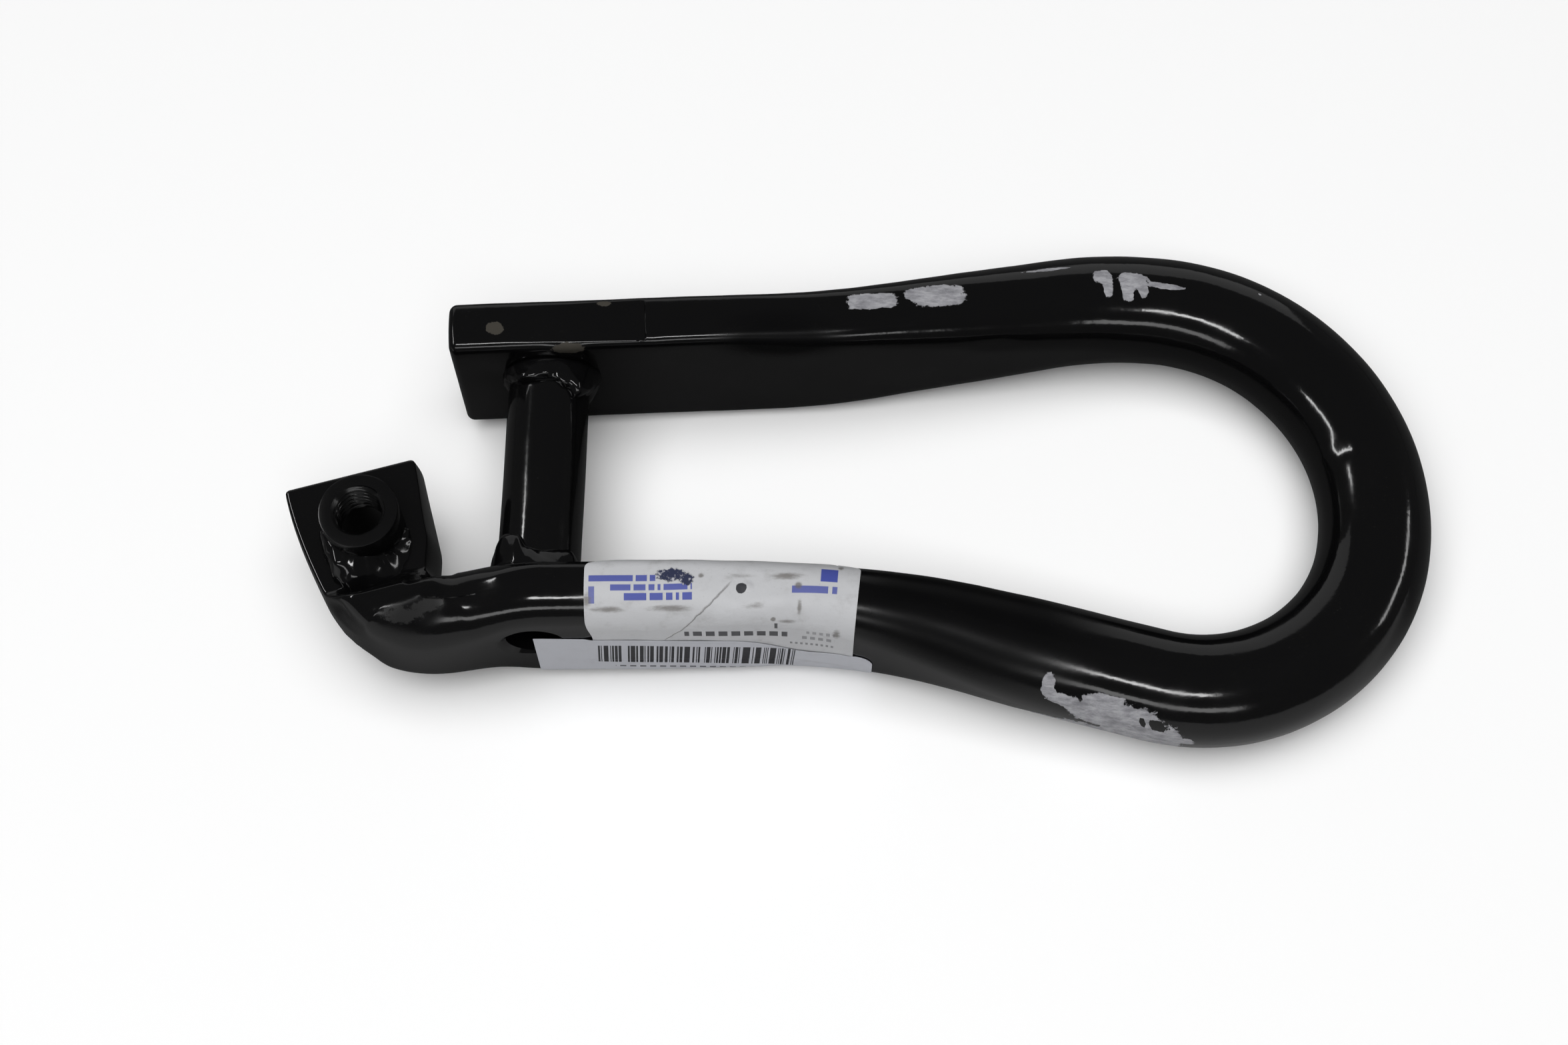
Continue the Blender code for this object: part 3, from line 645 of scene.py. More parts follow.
class Nodes:
    """Short way to build a material's node tree: each call adds what it needs and returns an output."""

    def __init__(self, name):
        self.material = bpy.data.materials.new(name)
        self.material.use_nodes = True
        self.tree = self.material.node_tree
        self.shader = self.tree.nodes["Principled BSDF"]

    def put(self, socket, value):
        """Link an output to a socket, or write a plain value on it."""
        if isinstance(value, bpy.types.NodeSocket):
            self.tree.links.new(value, socket)
        else:
            socket.default_value = value

    def math(self, operation, *values):
        """A Math node."""
        node = self.tree.nodes.new("ShaderNodeMath")
        node.operation = operation
        for socket, value in zip(node.inputs, values):
            self.put(socket, value)
        return node.outputs[0]

    def field(self, name):
        """A stored field of the mesh."""
        node = self.tree.nodes.new("ShaderNodeAttribute")
        node.attribute_name = name
        return node.outputs["Fac"]

    def place(self):
        """The length and the distance round, from the piece's own map."""
        node = self.tree.nodes.new("ShaderNodeUVMap")
        node.uv_map = "place"
        split = self.tree.nodes.new("ShaderNodeSeparateXYZ")
        self.tree.links.new(node.outputs[0], split.inputs[0])
        return split.outputs[0], split.outputs[1]

    def noise(self, size, detail=4.0, roughness=0.55, stretch=(1.0, 1.0, 1.0)):
        """Noise in object space; size is its grain in millimetres."""
        where = self.tree.nodes.new("ShaderNodeTexCoord")
        grow = self.tree.nodes.new("ShaderNodeMapping")
        grow.inputs["Scale"].default_value = [1000.0 / (size * s) for s in stretch]
        node = self.tree.nodes.new("ShaderNodeTexNoise")
        node.inputs["Scale"].default_value = 1.0
        node.inputs["Detail"].default_value = detail
        node.inputs["Roughness"].default_value = roughness
        self.tree.links.new(where.outputs["Object"], grow.inputs[0])
        self.tree.links.new(grow.outputs[0], node.inputs["Vector"])
        return node.outputs["Fac"]

    def step(self, value, low, high):
        """0 below low, 1 above high, smooth between."""
        node = self.tree.nodes.new("ShaderNodeMapRange")
        node.interpolation_type = "SMOOTHSTEP"
        self.put(node.inputs["Value"], value)
        node.inputs["From Min"].default_value = low
        node.inputs["From Max"].default_value = high
        return node.outputs[0]

    def torn(self, name, noise, strength, span):
        """1 inside a stored field, 0 outside, with an edge that noise tears."""
        return self.step(self.math("MULTIPLY_ADD", noise, strength, self.field(name)), *span)

    def blend(self, share, a, b):
        """A colour between two."""
        node = self.tree.nodes.new("ShaderNodeMix")
        node.data_type = "RGBA"
        self.put(node.inputs[0], share)
        self.put(node.inputs[6], a)
        self.put(node.inputs[7], b)
        return node.outputs[2]

    def bump(self, height, depth, normal=None):
        """A bump whose height is in parts of depth, in millimetres."""
        node = self.tree.nodes.new("ShaderNodeBump")
        node.inputs["Distance"].default_value = depth * 0.001
        self.put(node.inputs["Height"], height)
        if normal is not None:
            self.put(node.inputs["Normal"], normal)
        return node.outputs[0]


coat_black = (0.0026, 0.0026, 0.0028, 1.0)
coat_dust = (0.04, 0.038, 0.034, 1.0)
coat_scuffed = (0.036, 0.036, 0.036, 1.0)
primer_brown = (0.047, 0.043, 0.036, 1.0)
tape_thin = (0.16, 0.16, 0.175, 1.0)
tape_thick = (0.37, 0.37, 0.39, 1.0)
# Grains of the coat's patterns and depths of its bumps, in millimetres
speck_size = 0.32
cloud_size = 14.0
peel_size = 1.7
peel_depth = 0.016
ripple_size = 6.0
ripple_depth = 0.04
scuff_size = 1.7
chip_size = 1.4
tape_edge_size = 1.5
tape_streak_size = 1.6
tape_depth = 0.05
# Values of a noise, or of a field with its noise, between which each pattern comes in
speck_span = (0.66, 0.8)
cloud_span = (0.42, 0.72)
scuff_span = (1.3, 1.5)
chip_span = (0.5, 0.62)
dull_span = (0.0, 0.6)
tape_span = (0.47, 0.53)
tape_streak_span = (0.3, 0.7)
# How much noise tears an edge, and how much each pattern covers or roughens
scuff_torn = 2.2
chip_torn = 0.8
tape_torn = 0.8
dust_cover = 0.55
scuff_cover = 0.5
cloud_rough = 0.06
dust_rough = 0.3
scuff_rough = 0.4
dull_rough = 0.25
tape_rough = 0.5
coat_gloss = 0.5
gloss_lost = 0.42


def black_coat(name, marked, dullness=0.09):
    """Black gloss paint: orange peel, specks of dust, and where marked, scuffs, chips and tape rests."""
    nodes = Nodes(name)
    specks = nodes.step(nodes.noise(speck_size, 2.0), *speck_span)
    cloud = nodes.step(nodes.noise(cloud_size, 5.0), *cloud_span)
    dust = nodes.math("MULTIPLY", nodes.math("MULTIPLY", specks, cloud), dust_cover)
    colour = nodes.blend(dust, coat_black, coat_dust)
    rough = nodes.math("MULTIPLY_ADD", cloud, cloud_rough, dullness)
    rough = nodes.math("MULTIPLY_ADD", dust, dust_rough, rough)
    bump = nodes.bump(nodes.noise(peel_size, 2.0), peel_depth)
    bump = nodes.bump(nodes.noise(ripple_size, 3.0), ripple_depth, bump)
    if marked:
        scuff = nodes.torn("scuff", nodes.noise(scuff_size, 8.0, 0.78), scuff_torn, scuff_span)
        scuff = nodes.math("MULTIPLY", scuff, scuff_cover)
        colour = nodes.blend(scuff, colour, coat_scuffed)
        chip = nodes.torn("chip", nodes.noise(chip_size, 5.0, 0.6), chip_torn, chip_span)
        colour = nodes.blend(chip, colour, primer_brown)
        scuff = nodes.math("MAXIMUM", scuff, chip)
        rough = nodes.math("MULTIPLY_ADD", scuff, scuff_rough, rough)
        dull = nodes.step(nodes.field("dull"), *dull_span)
        rough = nodes.math("MULTIPLY_ADD", dull, dull_rough, rough)
        gloss = nodes.math("MULTIPLY_ADD", nodes.math("MAXIMUM", dull, scuff), -gloss_lost, coat_gloss)
        nodes.put(nodes.shader.inputs["Specular IOR Level"], gloss)
        rest = nodes.torn("rest", nodes.noise(tape_edge_size, 8.0, 0.7), tape_torn, tape_span)
        film = nodes.step(nodes.noise(tape_streak_size, 7.0, 0.75, (2.5, 0.8, 0.8)), *tape_streak_span)
        colour = nodes.blend(rest, colour, nodes.blend(film, tape_thin, tape_thick))
        rough = nodes.math("MULTIPLY_ADD", rest, tape_rough, rough)
        bump = nodes.bump(rest, tape_depth, bump)
    nodes.put(nodes.shader.inputs["Base Color"], colour)
    nodes.put(nodes.shader.inputs["Roughness"], rough)
    nodes.put(nodes.shader.inputs["Normal"], bump)
    return nodes.material


bar = make_bar()
cut_holes(bar)
mark_bar(bar.data)
dress(bar, black_coat("coated_forging", True), "coated_bar", "hook_bar")


# Spacer sleeve
# The real one is a short length of thick tube, cut square, clamped between the two legs on the line of the
# bolt and welded to both. It keeps the legs apart when the bolt is pulled tight.
sleeve_radius = 9.5
sleeve_bore = 6.6
sleeve_gap = 0.1
sleeve_waver = 0.04
sleeve_steps = 96
sleeve_rows = 40


def leg_plane(length, thickness, side):
    """Height of a leg's inner flat along the bolt line: at the axis, and its slope across and along z."""
    x, y, heading = along_loop(np.array([length]))[:, 0]
    normal = np.array([-math.sin(heading), math.cos(heading), 0.0])
    origin = np.array([x, y, 0.0]) + side * normal * thickness / 2.0
    frame_axes, start = bolt_place[:3, :3], bolt_place[:3, 3]
    local = frame_axes.T @ normal
    return (origin - start) @ normal / local[2], -local[0] / local[2], -local[1] / local[2]


lower_plane = leg_plane(loop_length - bolt_from_bend, lower_leg_thickness, -1.0)
upper_plane = leg_plane(0.0, upper_leg_thickness, -1.0)


def plane_height(plane, across, up):
    """Height of a leg's flat at a place across the bolt line."""
    return plane[0] + plane[1] * across + plane[2] * up


def make_sleeve():
    """The tube: a grid of angle by profile, whose two ends lie on the flats of the legs.

    The outside wavers a little round and along, as a rolled tube's does.
    """
    angle = np.linspace(0.0, 2.0 * math.pi, sleeve_steps + 1)[:, None]
    radius = np.array([[sleeve_bore] + [sleeve_radius] * sleeve_rows + [sleeve_bore] * 2])
    share = np.concatenate([[0.0], np.linspace(0.0, 1.0, sleeve_rows), [1.0, 0.0]])
    waver = sleeve_waver * (1.0 + np.sin(3.0 * angle + 9.0 * share))
    radius = radius - waver * (radius > sleeve_bore)
    x, y = radius * np.cos(angle), radius * np.sin(angle)
    low = plane_height(lower_plane, x, y) + sleeve_gap
    high = plane_height(upper_plane, x, y) - sleeve_gap
    grid = np.stack([x, y, low + (high - low) * share], axis=-1)
    quads = grid_quads(*grid.shape[:2])
    points = placed(grid.reshape(-1, 3), bolt_place)
    return surface("sleeve_tube", points, quads.tolist())


sleeve = make_sleeve()
dress(sleeve, black_coat("coated_tube", False), "coated_sleeve", "spacer_sleeve")


# Sleeve welds
# The real beads are laid by hand round both ends of the sleeve, in lumps where the torch stopped and
# started, and are painted over with the rest. Each is a ring whose section is a fillet.
weld_root = 0.8
weld_wave = 0.06
weld_gap = 0.02
bead_columns = 25
ring_steps = 240
# Rings: angle round the bolt line, reach on the leg, rise up the sleeve, fullness of the face (1 is round)
lower_ring = [
    (0.0, 1.6, 2.6, 1.2),
    (60.0, 2.2, 5.4, 1.0),
    (120.0, 2.0, 4.6, 1.0),
    (180.0, 1.7, 4.0, 0.9),
    (204.0, 1.8, 6.8, 0.8),
    (228.0, 2.5, 8.9, 0.7),
    (246.0, 2.3, 8.0, 0.7),
    (260.0, 2.0, 4.8, 1.2),
    (278.0, 2.0, 4.0, 1.6),
    (304.0, 2.0, 4.7, 1.3),
    (318.0, 2.2, 5.2, 1.0),
    (336.0, 1.8, 3.2, 1.0),
    (360.0, 1.6, 2.6, 1.2),
]
upper_ring = [
    (0.0, 2.7, 3.6, 1.2),
    (22.0, 2.8, 6.2, 0.9),
    (45.0, 2.8, 8.3, 0.7),
    (60.0, 2.4, 6.4, 0.7),
    (78.0, 2.3, 4.9, 0.8),
    (100.0, 2.4, 5.0, 0.7),
    (122.0, 2.5, 4.9, 0.7),
    (142.0, 2.3, 3.6, 0.8),
    (160.0, 1.6, 1.8, 1.0),
    (200.0, 1.6, 1.6, 1.2),
    (250.0, 2.3, 5.4, 1.0),
    (310.0, 2.2, 4.6, 1.0),
    (360.0, 2.7, 3.6, 1.2),
]
# Heaps on a bead: angle, place across its face (0 on the leg, 90 on the sleeve), height, two spreads.
# Angles and spreads are in degrees.
lower_heaps = [
    (218.0, 50.0, 0.3, 12.0, 22.0),
    (240.0, 62.0, 0.3, 7.0, 16.0),
    (310.0, 50.0, 0.25, 10.0, 20.0),
]
upper_heaps = [
    (52.0, 42.0, 0.55, 10.0, 20.0),
    (70.0, 66.0, 0.4, 8.0, 14.0),
    (88.0, 36.0, 0.55, 9.0, 18.0),
    (114.0, 42.0, 0.6, 12.0, 20.0),
    (130.0, 62.0, 0.35, 10.0, 12.0),
    (34.0, 60.0, 0.35, 9.0, 16.0),
]


def eased_rows(table, angle):
    """Sizes of a bead at the angles, eased from each row of its table to the next."""
    table = np.array(table)
    first = np.clip(np.searchsorted(table[:, 0], angle, side="right") - 1, 0, len(table) - 2)
    low, high = table[first], table[first + 1]
    share = ease((angle - low[:, 0]) / (high[:, 0] - low[:, 0]))[:, None]
    return (low + (high - low) * share)[:, 1:].T[:, :, None]


def bead(angle, table, heaps, radius):
    """Grid of a bead round a round piece that stands on a plate: out along the plate, up the round piece.

    The face curves from its toe on the plate, at the reach, to its toe on the round piece, at the rise: both
    are cosine and sine of the place across, raised to the fullness. Heaps and low waves stand out from it.
    """
    reach, rise_to, fullness = eased_rows(table, angle)
    across = np.linspace(0.0, 90.0, bead_columns)[None, :]
    angle, face = angle[:, None], np.radians(across)
    turn = np.radians(angle)
    stand = weld_wave * (np.sin(7.0 * turn + 2.0 * face) * np.sin(5.0 * face + 11.0 * turn) - 1.0)
    for middle, place, height, along, over in heaps:
        stand = stand + height * np.exp(-((angle - middle) / along) ** 2 - ((across - place) / over) ** 2)
    stand = stand * np.sin(2.0 * face)
    out = radius + reach * np.cos(face) ** fullness + stand * np.cos(face)
    up = rise_to * np.sin(face) ** fullness + stand * np.sin(face)
    root_out = np.full_like(angle, radius - weld_root)
    out = np.hstack([root_out, out, root_out, root_out])
    up = np.hstack([0.0 * angle, up, up[:, -1:], 0.0 * angle])
    return np.stack([out * np.cos(turn), out * np.sin(turn), up], axis=-1)


def make_sleeve_weld(name, plane, side, table, heaps):
    """A ring of weld from a leg's flat up the sleeve; side is the way from the leg to the sleeve."""
    grid = bead(np.linspace(0.0, 360.0, ring_steps + 1), table, heaps, sleeve_radius)
    grid[..., 1] *= side
    grid[..., 2] = plane_height(plane, grid[..., 0], grid[..., 1]) + side * (grid[..., 2] + weld_gap)
    quads = grid_quads(*grid.shape[:2])
    return surface(name, placed(grid.reshape(-1, 3), bolt_place), quads.tolist())


weld_coat = black_coat("coated_bead", False)
lower_weld = make_sleeve_weld("lower_bead", lower_plane, 1.0, lower_ring, lower_heaps)
dress(lower_weld, weld_coat, "coated_weld", "sleeve_weld_lower")
upper_weld = make_sleeve_weld("upper_bead", upper_plane, -1.0, upper_ring, upper_heaps)
dress(upper_weld, weld_coat, "coated_weld", "sleeve_weld_upper")


# Weld nut
# The real one is a turned round nut with a 12 mm thread, set on the paddle over its hole and welded along
# the side next to the bend. Its rims are chamfered and the thread's mouth is countersunk.
nut_radius = 8.95
nut_height = 11.0
nut_lift = 0.05
nut_chamfer = 0.5
chamfer_middle = (0.15, 0.12)
nut_sharp_edge = 35.0
mouth_clearance = 0.1
thread_flat = 0.25
thread_minor = 5.1
thread_major = 6.0
thread_pitch = 1.75
thread_turn_steps = 72
thread_step = thread_pitch / 10.0


def make_nut():
    """The nut: one grid from the thread's foot up the bore, over the face and down the outside.

    In the bore the radius follows the thread: it goes from crest to root and back once in each pitch,
    shifted by one pitch in each turn, and is held to the countersink's cone at both mouths.
    """
    angle = np.linspace(0.0, 2.0 * math.pi, thread_turn_steps + 1)[:, None]
    height = spread(nut_lift, nut_height, thread_step)[None, :]
    phase = (height / thread_pitch - angle / (2.0 * math.pi)) % 1.0
    flank = np.clip(np.abs(phase - 0.5) * 3.0 - thread_flat, 0.0, 1.0)
    radius = thread_minor + (thread_major - thread_minor) * flank
    mouth_radius = thread_major + mouth_clearance
    radius = np.maximum(radius, mouth_radius - np.minimum(nut_height - height, height - nut_lift))
    outside = np.array([
        (nut_radius - nut_chamfer, nut_height),
        (nut_radius - chamfer_middle[0], nut_height - chamfer_middle[1]),
        (nut_radius, nut_height - nut_chamfer),
        (nut_radius, nut_height / 2.0),
        (nut_radius, nut_lift + nut_chamfer),
        (nut_radius - nut_chamfer, nut_lift),
        (mouth_radius, nut_lift),
    ])
    out, up = np.repeat(outside.T[:, None, :], len(angle), axis=1)
    radius = np.hstack([radius, out])
    height = np.hstack([np.repeat(height, len(angle), axis=0), up])
    grid = np.stack([radius * np.cos(angle), radius * np.sin(angle), height], axis=-1)
    quads = grid_quads(*grid.shape[:2])[:, ::-1]
    nut = surface("threaded_nut", placed(grid.reshape(-1, 3), nut_place), quads.tolist())
    nut.data.set_sharp_from_angle(angle=math.radians(nut_sharp_edge))
    return nut


nut_dullness = 0.2
nut = make_nut()
dress(nut, black_coat("coated_thread", False, nut_dullness), "coated_nut", "weld_nut")


# Nut weld
# The real bead runs round the side of the nut that looks to the bend, and is built up there in heaps that
# fill the corner between the nut, the paddle and the bend.
# Arc: angle round the nut, reach on the paddle, rise up the nut, fullness of the face
nut_arc = [
    (150.0, 0.5, 0.8, 1.0),
    (166.0, 1.2, 3.6, 1.1),
    (186.0, 1.7, 6.6, 1.2),
    (212.0, 2.6, 7.4, 1.1),
    (230.0, 5.2, 7.2, 1.1),
    (246.0, 6.6, 6.4, 1.3),
    (264.0, 6.4, 5.4, 1.8),
    (284.0, 5.2, 4.2, 2.2),
    (306.0, 3.4, 2.8, 2.4),
    (326.0, 2.0, 1.8, 2.0),
    (345.0, 1.0, 0.8, 1.0),
]
nut_heaps = [
    (214.0, 44.0, 0.4, 11.0, 20.0),
    (232.0, 58.0, 0.6, 9.0, 14.0),
    (240.0, 24.0, 0.5, 9.0, 14.0),
    (256.0, 44.0, 0.6, 9.0, 16.0),
    (276.0, 26.0, 0.4, 12.0, 16.0),
]
nut_arc_steps = 180


def make_nut_weld():
    """The bead on the nut: an arc of the same fillet, which tapers to its two ends."""
    angle = np.linspace(nut_arc[0][0], nut_arc[-1][0], nut_arc_steps + 1)
    grid = bead(angle, nut_arc, nut_heaps, nut_radius)
    rows, columns = grid.shape[:2]
    quads = grid_quads(rows, columns).tolist()
    ends = [list(range(columns)), list(range((rows - 1) * columns, rows * columns))[::-1]]
    return surface("nut_bead", placed(grid.reshape(-1, 3), nut_place), quads + ends)


nut_weld = make_nut_weld()
dress(nut_weld, black_coat("coated_heap", False), "coated_weld", "nut_weld")


# Part label
# The real one is a white paper label stuck round the front of the lower leg and folded on to its outer flat.
# It is dirty and creased, punctured once and rubbed, with plain blocks of colour on it.
# Lengths are counted back from the bend, distances round the bar from the middle of its outer flat.
paper_thickness = 0.12
label_lift = 0.05
paper_edge = 50.0
part_label_start = 27.6
part_label_length = 60.5
part_label_below = 8.0
part_label_top = 29.3
part_label_bow = 1.9
part_label_ripple = 0.2
part_label_corner = 2.0
part_label_slant = 1.2
part_label_slant_span = (5.0, 14.0)
part_label_wave = 0.05
part_label_steps = (220, 120)


def wrapped(rows, distance, lift):
    """Points at distances round the bar's surface from the middle of the outer flat, a row for each section.

    The distance is split into what lies on the flat, round the corner, across the front and round the far
    corner.
    """
    half, depth, corner = rows[3], rows[4], rows[5]
    left = np.abs(distance)
    flat = np.clip(left / (depth - corner), 0.0, 1.0)
    left = left - (depth - corner)
    near = np.clip(left / corner, 0.0, math.pi / 2.0)
    left = left - corner * math.pi / 2.0
    width = 2.0 * (half - corner)
    over = np.clip(left / width, 0.0, 1.0)
    left = left - width
    far = np.clip(left / corner, 0.0, math.pi / 2.0)
    beyond = over >= 1.0
    turn = np.where(beyond, math.pi / 2.0 - far, near)
    front = np.where(beyond, 0.0, over * 2.0)
    across_side = np.where(beyond, -1.0, 1.0)
    return skin_point(rows, flat, turn, front, across_side, np.where(distance < 0.0, -1.0, 1.0), lift)


def paper(name, length, distance, height):
    """A sheet of paper on the lower leg, from grids of length, distance round and height off the bar."""
    rows, columns = length.shape
    section = loop_rows(loop_length - length.ravel()).reshape(9, rows, columns)
    layers = [wrapped(section, distance, height), wrapped(section, distance, height + paper_thickness)]
    points = np.stack(layers).reshape(-1, 3)
    quads = grid_quads(rows, columns)
    size = rows * columns
    number = np.arange(size).reshape(rows, columns)
    edge = np.concatenate([number[0, :-1], number[:-1, -1], number[-1, :0:-1], number[:0:-1, 0]])
    ahead = np.roll(edge, -1)
    strip = np.stack([edge, ahead, ahead + size, edge + size], axis=1)
    faces = np.vstack([quads[:, ::-1], quads + size, strip])
    places = np.stack([length, distance], axis=-1).reshape(-1, 2)[faces.ravel() % size]
    sheet = surface(name, points, faces.tolist(), places)
    sheet.data.set_sharp_from_angle(angle=math.radians(paper_edge))
    return sheet


def oval(length, distance, mark):
    """1 in the middle of an oval on a label, falling smoothly to 0 on its edge."""
    at, round_, along, around = mark
    return ease(1.0 - np.sqrt(((length - at) / along) ** 2 + ((distance - round_) / around) ** 2))


# A blister under the paper and the lifted rim of the puncture: length, distance, radius along, radius round
blister = (71.4, 18.6, 3.6, 3.3)
blister_height = 0.3
flap = (63.6, 22.0, 1.8, 1.6)
flap_height = 0.5
notch_at = 84.1
notch_width = 0.9
notch_depth = 2.4


def make_part_label():
    """The first label: a grid from the outer flat over the front, with round corners and a torn notch.

    Its top edge bows and ripples by sines of the share along it. The corners are quarter circles. Low
    waves, the blister and the flap lift it off the bar.
    """
    across, along = part_label_steps
    u = np.linspace(0.0, 1.0, across + 1)[None, :]
    v = np.linspace(0.0, 1.0, along + 1)[:, None]
    top = part_label_top + part_label_bow * np.sin(math.pi * u) ** 0.7
    top = top + part_label_ripple * np.sin(23.0 * u)
    middle = part_label_start + part_label_length * u
    top = top - notch_depth * np.clip(1.0 - np.abs(middle - notch_at) / notch_width, 0.0, 1.0)
    distance = -part_label_below + (top + part_label_below) * v
    round_ = part_label_corner
    corner = round_ - np.sqrt(round_ ** 2 - np.clip(distance - top + round_, 0.0, round_) ** 2)
    slant = part_label_slant * (1.0 - rise(distance, *part_label_slant_span))
    length = part_label_start + corner + slant + (part_label_length - 2.0 * corner - slant) * u
    lift = part_label_wave * (1.0 + np.sin(length / 2.3 + distance / 4.0) * np.sin(distance / 2.9))
    lift = lift + blister_height * oval(length, distance, blister)
    lift = lift + flap_height * oval(length, distance, flap)
    return paper("leg_label", length, distance, label_lift + lift)


paper_white = (0.49, 0.495, 0.51, 1.0)
print_blue = (0.03, 0.05, 0.3, 1.0)
print_dark = (0.03, 0.03, 0.035, 1.0)
dirt_and_shade_brown = (0.13, 0.12, 0.11, 1.0)


def patch(nodes, u, v, left, right, low, high, blur=0.1):
    """1 inside a rectangle of the label, 0 outside."""
    inside = nodes.step(u, left - blur, left + blur)
    past = nodes.step(u, right - blur, right + blur)
    inside = nodes.math("MULTIPLY", inside, nodes.math("SUBTRACT", 1.0, past))
    inside = nodes.math("MULTIPLY", inside, nodes.step(v, low - blur, low + blur))
    above = nodes.step(v, high - blur, high + blur)
    return nodes.math("MULTIPLY", inside, nodes.math("SUBTRACT", 1.0, above))


def blocks(nodes, u, pitch, share, seed):
    """Plain blocks along u: each step of one pitch is dark or bare by chance."""
    cell = nodes.math("FLOOR", nodes.math("DIVIDE", nodes.math("ADD", u, seed), pitch))
    chance = nodes.tree.nodes.new("ShaderNodeTexWhiteNoise")
    chance.noise_dimensions = "1D"
    nodes.put(chance.inputs["W"], cell)
    return nodes.math("LESS_THAN", chance.outputs["Value"], share)


def teeth(nodes, u, pitch, share):
    """Even blocks along u, each dark for a share of its pitch."""
    return nodes.math("LESS_THAN", nodes.math("FRACT", nodes.math("DIVIDE", u, pitch)), share)


def mark_label(mesh, lists):
    """Work out fields of ovals from a label's place map, and keep them."""
    length, distance = place_map(mesh)
    fields = {}
    for name, marks in lists.items():
        ovals = [strength * oval(length, distance, mark) for *mark, strength in marks]
        fields[name] = np.maximum.reduce(ovals)
    store(mesh, fields)


def printed(nodes, u, v, shade, prints):
    """The paper's shade with its prints: rectangle, pitch and share of its blocks, kind, strength, ink."""
    for (left, right, low, high), pitch, share, kind, strength, ink in prints:
        shape = patch(nodes, u, v, left, right, low, high)
        if kind == "chance":
            shape = nodes.math("MULTIPLY", shape, blocks(nodes, u, pitch, share, left))
        if kind == "even":
            shape = nodes.math("MULTIPLY", shape, teeth(nodes, u, pitch, share))
        shade = nodes.blend(nodes.math("MULTIPLY", shape, strength), shade, ink)
    return shade


def paper_ground(nodes, colour, dirtiness):
    """Paper with faint stains, fine specks and a soft grain."""
    stain = nodes.step(nodes.noise(5.0, 6.0, 0.65), 0.5, 0.85)
    fine = nodes.step(nodes.noise(0.5, 3.0), 0.6, 0.85)
    shade = nodes.blend(nodes.math("MULTIPLY", stain, 0.35 * dirtiness), colour, dirt_and_shade_brown)
    return nodes.blend(nodes.math("MULTIPLY", fine, 0.25 * dirtiness), shade, dirt_and_shade_brown)


# Crease: it runs up the label at a slope that changes on its way; its line is painted darker, as shade in
# the fold. The place of the change, the two slopes and the half width.
crease = (52.4, 15.5, 1.03, 1.5, 0.22)
crease_box = (44.8, 59.6, 4.0, 24.0)
crease_wander = 1.2
# Grains and depths of the paper's patterns, in millimetres
paper_grain = 0.6
paper_grain_depth = 0.02
paper_buckle = 4.0
paper_buckle_depth = 0.25
crease_depth = 0.2
rub_depth = 0.06
# Values of a field with its noise between which each mark comes in, and how much it covers
dirt_and_shade_span = (0.55, 1.25)
dirt_and_shade_cover = 0.8
rub_span = (1.0, 1.15)
fibre_span = (0.52, 0.6)
hole_span = (0.5, 0.62)
crease_shade_cover = 0.55


def worn_paper(name, prints, colour):
    """The first label's paper: prints, dirt streaks, painted shade at the blister and the crease, the rub,
    the puncture.
    """
    nodes = Nodes(name)
    u, v = nodes.place()
    shade = paper_ground(nodes, colour, 1.0)
    shade = printed(nodes, u, v, shade, prints)
    # Dirt streaks, and painted shade along the blister's right and lower rim, come from one stored field.
    streaks = nodes.noise(1.1, 5.0, 0.7, (2.2, 0.7, 0.7))
    dirt_and_shade = nodes.torn("dirt_and_shade", streaks, 0.9, dirt_and_shade_span)
    shade = nodes.blend(nodes.math("MULTIPLY", dirt_and_shade, dirt_and_shade_cover), shade, dirt_and_shade_brown)
    ragged = nodes.noise(0.9, 6.0, 0.75)
    rub = nodes.torn("rub", ragged, 1.4, rub_span)
    bare = nodes.step(nodes.noise(1.3, 5.0, 0.7), *fibre_span)
    rub_shade = nodes.blend(bare, rub_dark, paper_fibre)
    shade = nodes.blend(rub, shade, rub_shade)
    knee_length, knee_distance, upper_slope, lower_slope, half = crease
    x = nodes.math("SUBTRACT", u, knee_length)
    slopes = [nodes.math("MULTIPLY", x, slope) for slope in (upper_slope, lower_slope)]
    line = nodes.math("MINIMUM", *slopes)
    middle = knee_distance - crease_wander / 2.0
    wander = nodes.math("MULTIPLY_ADD", nodes.noise(2.0, 3.0), crease_wander, middle)
    off = nodes.math("ABSOLUTE", nodes.math("SUBTRACT", v, nodes.math("ADD", line, wander)))
    fold = nodes.math("SUBTRACT", 1.0, nodes.step(off, 0.0, 2.0 * half))
    fold = nodes.math("MULTIPLY", fold, patch(nodes, u, v, *crease_box, 0.8))
    # Painted shade: the crease's line is darkened in colour, as shade in the fold.
    shade = nodes.blend(nodes.math("MULTIPLY", fold, crease_shade_cover), shade, dirt_and_shade_brown)
    hole = nodes.torn("hole", ragged, 0.5, hole_span)
    shade = nodes.blend(hole, shade, print_dark)
    nodes.put(nodes.shader.inputs["Base Color"], shade)
    bump = nodes.bump(nodes.noise(paper_grain, 4.0), paper_grain_depth)
    bump = nodes.bump(nodes.noise(paper_buckle, 3.0), paper_buckle_depth, bump)
    bump = nodes.bump(fold, crease_depth, bump)
    bump = nodes.bump(nodes.math("SUBTRACT", 1.0, rub), rub_depth, bump)
    nodes.put(nodes.shader.inputs["Normal"], bump)
    nodes.shader.inputs["Roughness"].default_value = 0.55
    return nodes.material


rub_dark = (0.02, 0.025, 0.06, 1.0)
paper_fibre = (0.4, 0.4, 0.44, 1.0)
faint_grey = (0.1, 0.1, 0.11, 1.0)
